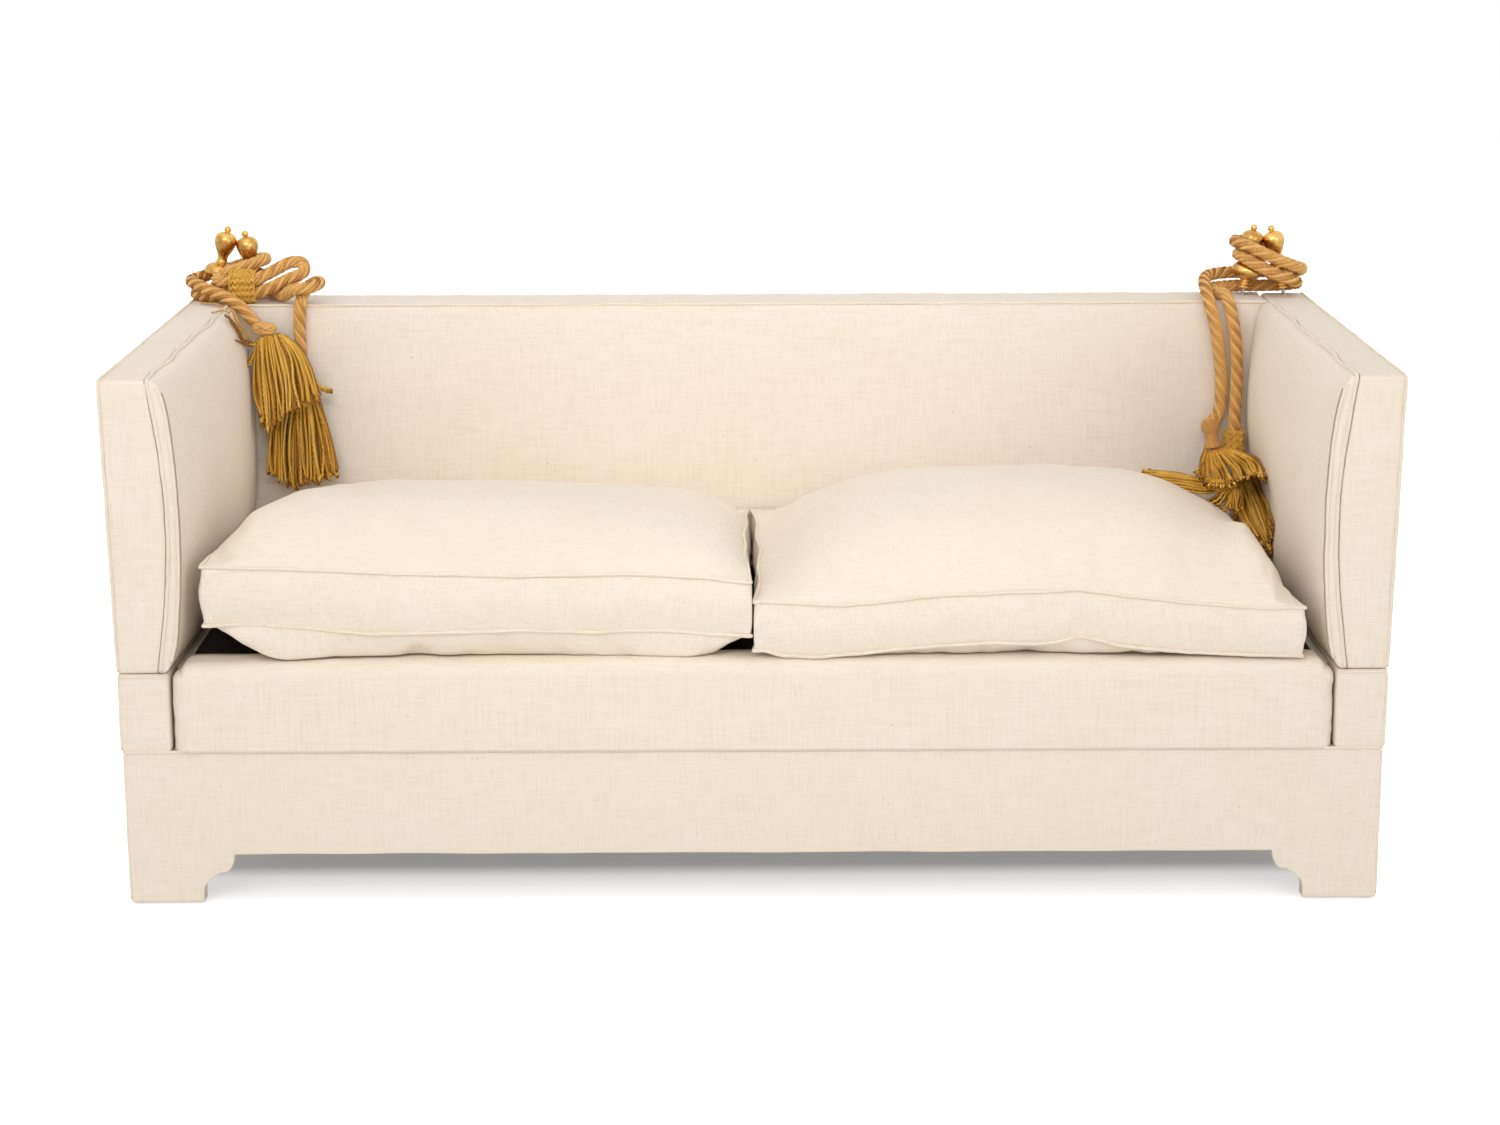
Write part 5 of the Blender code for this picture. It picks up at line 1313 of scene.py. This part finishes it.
def make_side_rails():
    def shape(points, plain):
        moved = wavy(points, 0.0007, 11.0, 12)
        moved[:, 2] = np.minimum(moved[:, 2], SEAM_Z - FIT)
        return moved

    top = SEAM_Z - 0.0038
    heights = np.linspace(PLINTH_Z + 0.005, SEAM_Z - 0.006, 20)
    for side_name, sign, arm in SIDES:
        x = sorted((sign * HALF, sign * RAIL_INNER))
        low, high = (x[0], FRONT_Y, PLINTH_Z + FIT), (x[1], REAR_Y, SEAM_Z - FIT)
        piece = soft_box(f"{side_name}_side_rail_linen", low, high, 0.005, 0.020, shape)
        settle(piece, BASE, f"{side_name}_side_rail")
        edge, near = sign * (HALF - WELT_IN), sign * (RAIL_INNER + 0.004)
        run = [(x, FRONT_Y + 0.0004, top) for x in (near, edge - sign * 0.004)]
        run += [(edge, y, top) for y in np.linspace(FRONT_Y + 0.004, REAR_Y - 0.004, 60)]
        run += [(x, REAR_Y - 0.0004, top) for x in (edge - sign * 0.004, near)]
        welt(f"{side_name}_side_rail_piping", run, BASE, radius=0.0024, seed=9)
        for end_name, y in (("front", FRONT_Y + WELT_IN), ("rear", REAR_Y - WELT_IN)):
            path = [(sign * (HALF - 0.0014), y, z) for z in heights]
            welt(f"{side_name}_side_rail_{end_name}_piping", path, BASE, radius=0.0022, seed=10)


make_side_rails()

ROLL_CORNER, ROLL_SAG, PUCKERED = 0.034, 0.0022, 0.05


def make_edge_roll():
    half = RAIL_INNER - 0.003
    low = (-half, FRONT_Y - 0.004, PLINTH_Z - 0.030)
    high = (half, FRONT_Y + 0.084, ROLL_TOP)

    def shape(points, plain):
        moved = points.copy()
        moved[:, 2] = np.maximum(moved[:, 2], PLINTH_Z + FIT)
        r, x, z = ROLL_CORNER, moved[:, 0], moved[:, 2]
        beyond = np.maximum(np.abs(x) - (half - r), 0) / r
        over = np.maximum(z - (ROLL_TOP - r), 0) / r
        shrink = np.maximum(beyond, over) / np.maximum(np.hypot(beyond, over), 1e-6)
        corner = (beyond > 0) & (over > 0)
        moved[:, 0] = np.where(corner, np.sign(x) * (half - r + r * beyond * shrink), x)
        moved[:, 2] = np.where(corner, ROLL_TOP - r + r * over * shrink, z)
        moved[:, 2] += ROLL_SAG * (np.cos(moved[:, 0] * 3.3) - 1) * (moved[:, 2] > 0.35)
        push = waviness(moved, 0.0016, 7.0, 21) + waviness(moved, 0.0008, 26.0, 22)
        puckered = 1 - np.clip((half - np.abs(moved[:, 0])) / PUCKERED, 0, 1)
        pucker = waviness(moved * np.array([1, 1, 2.2]), 0.0022, 34.0, 23)
        moved[:, 1] += push[:, 1] + pucker[:, 1] * puckered
        moved[:, 0] += pucker[:, 0] * puckered
        moved[:, 2] += push[:, 2] * (moved[:, 2] > PLINTH_Z + 0.01)
        return moved

    piece = soft_box("front_edge_roll_linen", low, high, 0.024, 0.014, shape)
    settle(piece, BASE, "front_edge_roll")


make_edge_roll()

# The linen border round the deck cloth: its heights, where its front strip ends, and its side strips' width
BORDER_LOW, BORDER_TOP, SIDE_BORDER_TOP = 0.3655, 0.3695, 0.3690
BORDER_END_Y, SIDE_BORDER_WIDTH = FRONT_Y + 0.150, 0.012


def make_deck():
    low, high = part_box("seat_deck")
    piece = soft_box("seat_deck_cloth", low, high, 0.006, 0.03, material=hessian)
    settle(piece, BASE, "seat_deck", slot="hessian")
    half = RAIL_INNER - 0.0015
    low, high = (-half, FRONT_Y + 0.070, BORDER_LOW), (half, BORDER_END_Y, BORDER_TOP)
    border = soft_box("seat_deck_border", low, high, 0.0018, 0.02, lambda p, q: wavy(p, 0.0008, 12.0, 41))
    settle(border, BASE)
    for side_name, sign, arm in SIDES:
        x = sorted((sign * half, sign * (half - SIDE_BORDER_WIDTH)))
        low, high = (x[0], BORDER_END_Y, BORDER_LOW), (x[1], BACK_FRONT - 0.02, SIDE_BORDER_TOP)
        settle(soft_box(f"seat_deck_{side_name}_border", low, high, 0.0016, 0.02), BASE)


make_deck()

# Seat cushions
CUSHION_LENGTH, CUSHION_DEPTH = 0.848, 0.750
# Along the sofa, the heights of each cushion's front seams and of its crown as the camera sees it
LEFT_UPPER_SEAM = (
    (-0.843, 0.5450), (-0.759, 0.5413), (-0.681, 0.5390), (-0.578, 0.5332), (-0.467, 0.5295),
    (-0.357, 0.5277), (-0.260, 0.5293), (-0.195, 0.5303), (-0.130, 0.5267), (-0.065, 0.5231),
    (-0.020, 0.5183),
)
LEFT_LOWER_SEAM = (
    (-0.844, 0.4514), (-0.801, 0.4525), (-0.762, 0.4524), (-0.684, 0.4453), (-0.594, 0.4362),
    (-0.489, 0.4378), (-0.359, 0.4406), (-0.242, 0.4381), (-0.144, 0.4410), (-0.066, 0.4346),
    (-0.001, 0.4323),
)
LEFT_CROWN = (
    (-0.866, 0.5239), (-0.826, 0.5627), (-0.774, 0.5873), (-0.711, 0.6012), (-0.655, 0.6080),
    (-0.586, 0.6127), (-0.448, 0.6114), (-0.310, 0.6066), (-0.172, 0.6004), (-0.102, 0.5952),
    (-0.054, 0.5844), (-0.019, 0.5666), (0.001, 0.5488),
)
RIGHT_UPPER_SEAM = (
    (0.019, 0.4859), (0.078, 0.4824), (0.143, 0.4801), (0.208, 0.4852), (0.292, 0.4935), (0.396, 0.4991),
    (0.461, 0.4995), (0.502, 0.5020), (0.546, 0.4965), (0.618, 0.4881), (0.683, 0.4798), (0.748, 0.4755),
    (0.800, 0.4726), (0.849, 0.4738),
)
RIGHT_LOWER_SEAM = (
    (0.019, 0.4086), (0.045, 0.3997), (0.097, 0.3975), (0.163, 0.4026), (0.221, 0.4078), (0.300, 0.4142),
    (0.371, 0.4179), (0.437, 0.4149), (0.476, 0.4188), (0.504, 0.4275), (0.535, 0.4213), (0.567, 0.4130),
    (0.633, 0.4060), (0.698, 0.4010), (0.764, 0.3975), (0.849, 0.3970),
)
RIGHT_CROWN = (
    (0.001, 0.5000), (0.023, 0.5522), (0.085, 0.5873), (0.154, 0.6118), (0.223, 0.6242), (0.313, 0.6309),
    (0.430, 0.6333), (0.534, 0.6310), (0.603, 0.6270), (0.673, 0.6130), (0.729, 0.5900), (0.779, 0.5640),
    (0.814, 0.5360), (0.865, 0.4820),
)
# Each cushion's side, seams and crown, its top's rise over the seam, and the seams' drop to the back
CUSHIONS = {
    "left": (-1, LEFT_UPPER_SEAM, LEFT_LOWER_SEAM, LEFT_CROWN, 0.095, 0.062),
    "right": (1, RIGHT_UPPER_SEAM, RIGHT_LOWER_SEAM, RIGHT_CROWN, 0.120, 0.020),
}
CROWN_SEEN_AT = -0.1
PRESS = 0.024  # the furthest that the filling may push the cover


def swell(share, power=4):
    return 1 - np.abs(share) ** power


class CushionForm:
    """A boxed cushion before its filling pushes it out: where each point of its cover lies."""

    def __init__(self, sign, upper, lower, crown, rise, drop):
        self.sign, self.rise, self.drop = sign, rise, drop
        self.seams = {True: np.array(upper), False: np.array(lower)}
        self.crown = np.array(crown)
        self.half_x, self.half_y = CUSHION_LENGTH / 2 - 0.004, CUSHION_DEPTH / 2 - 0.004
        self.middle = (sign * (0.003 + CUSHION_LENGTH / 2), FRONT_Y + 0.006 + CUSHION_DEPTH / 2)

    def plan(self, u, v):
        ear = np.abs(u * v) ** 14
        pull_x = (0.007 * swell(v, 2) + 0.002 * np.sin(v * 9 + self.sign)) * np.abs(u) ** 2 - 0.004 * ear
        pull_y = (0.005 * swell(u, 2) + 0.0015 * np.sin(u * 11)) * np.abs(v) ** 2 - 0.003 * ear
        x = self.middle[0] + u * self.half_x - np.sign(u) * pull_x
        y = self.middle[1] + v * self.half_y - np.sign(v) * pull_y
        return x, y

    def seam(self, x, v, upper):
        """The height of a seam: as seen along the front, and levelling out towards the back."""
        front = np.interp(x, self.seams[upper][:, 0], self.seams[upper][:, 1])
        rear = self.seams[upper][:, 1].mean() - self.drop
        wander = 0.0018 * np.sin(x * 19 + v * 7 + self.sign) * (v > -0.98)
        return front + (rear - front) * ease((v + 1) / 2) + wander

    def top(self, u, v):
        x, y = self.plan(u, v)
        rise = self.rise * (swell(u, 3.0) * swell(v, 3.0)) ** 0.7
        return np.stack([x, y, self.seam(x, v, True) + rise], axis=-1)

    def bottom(self, u, v):
        """Below, the filling hangs past the seam in a full belly down to the front roll."""
        x, y = self.plan(u, v)
        edge_x, edge_y = (1 - np.abs(u)) * self.half_x, (1 - np.abs(v)) * self.half_y
        rest = ROLL_TOP + FIT
        seam = self.seam(x, v, False)
        depth = np.maximum(seam - rest, 0)
        reach = 0.10 + 0.9 * depth
        fall = np.sin(pi / 2 * np.clip(edge_x / reach, 0, 1)) * ease(edge_y / (0.008 + 0.12 * depth))
        out = np.sin(pi / 2 * np.clip(fall * 2, 0, 1)) * 0.26 * depth * (1 - ease((edge_y - 0.02) / 0.06))
        y = y + np.where(v < -0.5, -out * ease(edge_x / 0.05), 0)
        return np.stack([x, y, np.maximum(seam - (depth + 0.003) * fall, rest - 0.003)], axis=-1)


def spread_shares(count, close=0.55):
    """Shares from -1 to 1, closer together towards both ends."""
    t = np.linspace(-1, 1, count + 1)
    return t * (1 - close) + close * np.sin(pi / 2 * t)


def cushion_mesh(form, nu=92, nv=84, rows=9):
    """The cover as a closed mesh of four-cornered faces, with its two seams as rings of points."""
    grid_u, grid_v = np.meshgrid(spread_shares(nu), spread_shares(nv), indexing="ij")
    top, low = form.top(grid_u, grid_v).reshape(-1, 3), form.bottom(grid_u, grid_v).reshape(-1, 3)
    count = (nu + 1) * (nv + 1)
    index = np.arange(count).reshape(nu + 1, nv + 1)
    top_rim = np.concatenate([index[:, 0], index[-1, 1:], index[-2::-1, -1], index[0, -2:0:-1]])
    low_rim = top_rim + count
    quads = sheet_faces(nu + 1, nv + 1)
    points, faces, rings = [top, low], [quads, quads[:, ::-1] + count], [top_rim]
    upper, under = top[top_rim], low[top_rim]
    away = upper - np.array([*form.middle, 0])
    away[:, 2] = 0
    away = unit(away / np.array([form.half_x, form.half_y, 1]) ** 8 * np.abs(away) ** 7)
    for row in range(1, rows):
        share = row / rows
        points.append(upper + (under - upper) * share + away * 0.005 * sin(pi * share))
        rings.append(np.arange(len(top_rim)) + 2 * count + (row - 1) * len(top_rim))
    rings.append(low_rim)
    for near, far in zip(rings, rings[1:]):
        faces.append(np.stack([near, far, np.roll(far, -1), np.roll(near, -1)], axis=-1))
    return np.concatenate(points), np.concatenate(faces), top_rim, low_rim


CLOTH = {
    "quality": 5, "mass": 0.25, "air_damping": 6, "tension_stiffness": 18, "compression_stiffness": 18,
    "shear_stiffness": 6, "bending_stiffness": 0.06, "vertex_group_mass": "seams", "pin_stiffness": 1,
    "use_pressure": True, "uniform_pressure_force": 4, "shrink_min": -0.022,
}
LAST_STEP = 20


def point_places(mesh):
    found = np.empty(len(mesh.vertices) * 3, np.float32)
    mesh.vertices.foreach_get("co", found)
    return found.reshape(-1, 3).astype(float)


def inflate(piece, seams, cap):
    """The filling presses the cover out between its seams. The cover is cut a little full."""
    group = piece.vertex_groups.new(name="seams")
    group.add([int(i) for i in seams], 1.0, "REPLACE")
    before = point_places(piece.data)
    cloth = piece.modifiers.new("filling", "CLOTH")
    for name, value in CLOTH.items():
        setattr(cloth.settings, name, value)
    cloth.settings.effector_weights.gravity = 0
    cloth.collision_settings.use_collision = False
    cloth.collision_settings.use_self_collision = False
    cloth.point_cache.frame_start, cloth.point_cache.frame_end = 1, LAST_STEP
    scene = bpy.context.scene
    for at in range(1, LAST_STEP + 1):
        scene.frame_set(at)
    moved = point_places(piece.evaluated_get(bpy.context.evaluated_depsgraph_get()).data) - before
    piece.modifiers.remove(cloth)
    scene.frame_set(1)
    length = np.linalg.norm(moved, axis=1, keepdims=True)
    return before + moved * np.minimum(1, cap / np.maximum(length, 1e-9))


def relaxed(points, faces, fixed, rounds, share=0.5):
    """Evens out the faces, leaving the fixed points where they are."""
    edges = np.concatenate([faces[:, [k, (k + 1) % 4]] for k in range(4)])
    degree = np.bincount(edges.ravel(), minlength=len(points)).astype(float)
    free = np.ones(len(points))
    free[fixed] = 0
    for _ in range(rounds):
        total = np.zeros_like(points)
        np.add.at(total, edges[:, 0], points[edges[:, 1]])
        np.add.at(total, edges[:, 1], points[edges[:, 0]])
        points = points + (total / degree[:, None] - points) * (share * free)[:, None]
    return points


def crowned(points, form, rounds=5):
    """Raises or lowers what lies above the upper seam until its outline from the front is the crown's."""
    eye = np.array(bpy.context.scene.camera.location)
    v = (points[:, 1] - form.middle[1]) / form.half_y
    seam = form.seam(points[:, 0], v, True)
    above = points[:, 2] > seam
    xs, goal = form.crown.T
    for _ in range(rounds):
        reach = (CROWN_SEEN_AT - eye[1]) / (points[:, 1] - eye[1])
        seen_x = eye[0] + (points[:, 0] - eye[0]) * reach
        seen_z = eye[2] + (points[:, 2] - eye[2]) * reach
        has = np.array([seen_z[above & (np.abs(seen_x - x) < 0.014)].max(initial=0.40) for x in xs])
        height = np.maximum(goal - 0.50, 0.03)
        factor = np.clip(1 + (goal - has) / height, 0.7, 1.4)
        share = np.interp(seen_x, xs, factor)
        points[above, 2] = (seam + (points[:, 2] - seam) * share)[above]
    return points


# A cushion keeps this far from the other one, from its arm and from the back, and this far above the deck
CUSHION_GAP, CUSHION_END, CUSHION_REAR = 0.0012, 0.8600, 0.3165
DECK_REST, ROLL_REAR, ROLL_NOSE, NOSE_DROP = 0.3705, 0.078, 0.022, 0.009


def laid(points, form):
    """Keeps a cushion between its neighbours, on the roll in front and on the deck behind it."""
    sign = form.sign
    points[:, 0] = sign * np.clip(sign * points[:, 0], CUSHION_GAP, CUSHION_END)
    points[:, 1] = np.minimum(points[:, 1], CUSHION_REAR)
    behind = np.clip((points[:, 1] - (FRONT_Y + ROLL_REAR)) / 0.02, 0, 1)
    floor = ROLL_TOP + 2 * FIT - behind * (ROLL_TOP - DECK_REST)
    floor -= NOSE_DROP * ease((FRONT_Y + ROLL_NOSE - points[:, 1]) / ROLL_NOSE)
    points[:, 2] = np.maximum(points[:, 2], floor)
    return points


def make_cushions():
    for side_name, sizes in CUSHIONS.items():
        form = CushionForm(*sizes)
        points, faces, top_rim, low_rim = cushion_mesh(form)
        seams = np.concatenate([top_rim, low_rim])
        points = relaxed(points, faces, seams, 2)
        builder = Builder()
        builder.add(points, faces)
        piece = builder.build(f"seat_cushion_{side_name}_linen", (linen,))
        points = inflate(piece, seams, PRESS)
        sign = form.sign
        wave = waviness(points, 0.0022, 7.5, 50 + sign) + waviness(points, 0.0008, 24.0, 60 + sign)
        wave[seams] *= 0.4
        points = laid(crowned(points + wave, form), form)
        piece.data.vertices.foreach_set("co", points.astype(np.float32).ravel())
        piece.data.update()
        soften = piece.modifiers.new("subdivision", "SUBSURF")
        soften.levels = soften.render_levels = 1
        settle(piece, BASE, f"seat_cushion_{side_name}")
        for which, rim in (("upper", top_rim), ("lower", low_rim)):
            out = points[rim] - np.array([*form.middle, 0])
            out[:, 2] = 0
            path = points[rim] + unit(out) * 0.0012
            welt(f"seat_cushion_{side_name}_{which}_piping", path, BASE, closed=True, radius=0.0031, seed=13)


make_cushions()

# Stage. The floor glows for the camera so that it looks white; its glow is low in a box under the sofa and
# grows past the box's edge, a painted shadow added to the floor's own shadow
FLOOR_REACH, FLOOR_GREY = 12.0, (0.88, 0.88, 0.88)
PAINTED_SHADOW_HALF, PAINTED_SHADOW_FADE = (0.93, 0.262, 0), 0.056
GLOW_IN_PAINTED_SHADOW, GLOW_BEYOND = 0.22, 0.55
WORLD_STRENGTH = 0.76
# Each light's place, what it aims at, its size, power and spread
LIGHTS = {
    "key": ((-1.6, -4.0, 3.0), (0, 0, 0.4), (2.6, 2.0), 42, 180),
    "fill": ((2.7, -4.2, 1.8), (0, 0, 0.4), (2.2, 2.2), 22, 180),
    "top": ((-0.6, -0.8, 3.4), (0, 0, 0.4), (3.0, 2.2), 8, 180),
    "beam": ((0.0, -3.0, 2.6), (0, 0.33, 0.60), (1.6, 0.5), 1.4, 34),
}


def make_floor():
    corners = [(x * FLOOR_REACH, y * FLOOR_REACH, 0) for x, y in ((-1, -1), (1, -1), (1, 1), (-1, 1))]
    mesh = bpy.data.meshes.new("floor")
    mesh.from_pydata(corners, [], [(0, 1, 2, 3)])
    pale = Surface("pale_floor")
    pale.finish({"Base Color": FLOOR_GREY, "Roughness": 0.9, "Specular IOR Level": 0.1})
    # The glow is weakest in a box under the sofa and rises within a few centimetres past its edge: a painted
    # floor shadow
    place = pale.add("ShaderNodeVectorMath", {0: pale.place["Object"]}, operation="ABSOLUTE")[0]
    past = pale.add("ShaderNodeVectorMath", {0: place, 1: PAINTED_SHADOW_HALF}, operation="SUBTRACT")[0]
    outside = pale.add("ShaderNodeVectorMath", {0: past}, operation="MAXIMUM")[0]
    far = pale.add("ShaderNodeVectorMath", {0: outside}, operation="LENGTH")["Value"]
    sockets = {"Value": far, "From Max": PAINTED_SHADOW_FADE, "To Min": GLOW_IN_PAINTED_SHADOW, "To Max": GLOW_BEYOND}
    glow = pale.add("ShaderNodeEmission", {"Strength": pale.add("ShaderNodeMapRange", sockets)[0]})[0]
    plain = pale.shader.outputs[0]
    both = pale.add("ShaderNodeAddShader", {0: plain, 1: glow})[0]
    seen = pale.add("ShaderNodeLightPath")["Is Camera Ray"]
    pick = pale.add("ShaderNodeMixShader", {0: seen, 1: plain, 2: both})[0]
    pale.set(pale.nodes["Material Output"].inputs["Surface"], pick)
    mesh.materials.append(pale.material)
    show("floor", mesh)


def make_world():
    """A world that lights the sofa softly and looks white."""
    world = bpy.data.worlds.new("studio")
    bpy.context.scene.world = world
    world.use_nodes = True
    graph = Graph(world.node_tree)
    soft = graph.nodes["Background"]
    graph.set(soft.inputs["Color"], WHITE)
    graph.set(soft.inputs["Strength"], WORLD_STRENGTH)
    white = graph.add("ShaderNodeBackground", {"Color": WHITE, "Strength": 1.0})[0]
    rays = graph.add("ShaderNodeLightPath")
    seen = graph.math("MAXIMUM", rays["Is Camera Ray"], rays["Is Glossy Ray"])
    seen = graph.math("MAXIMUM", seen, rays["Is Transmission Ray"])
    pick = graph.add("ShaderNodeMixShader", {0: seen, 1: soft.outputs[0], 2: white})[0]
    graph.set(graph.nodes["World Output"].inputs["Surface"], pick)


def make_lights():
    for name, (where, aim, size, power, spread) in LIGHTS.items():
        data = bpy.data.lights.new(name, "AREA")
        data.shape = "RECTANGLE"
        data.size, data.size_y = size
        data.energy, data.spread = power, radians(spread)
        lamp = show(name, data)
        lamp.location = where
        lamp.rotation_euler = (Vector(aim) - Vector(where)).to_track_quat("-Z", "Y").to_euler()


make_floor()
make_world()
make_lights()
bpy.context.scene.view_settings.view_transform = "Standard"

bpy.context.view_layer.update()
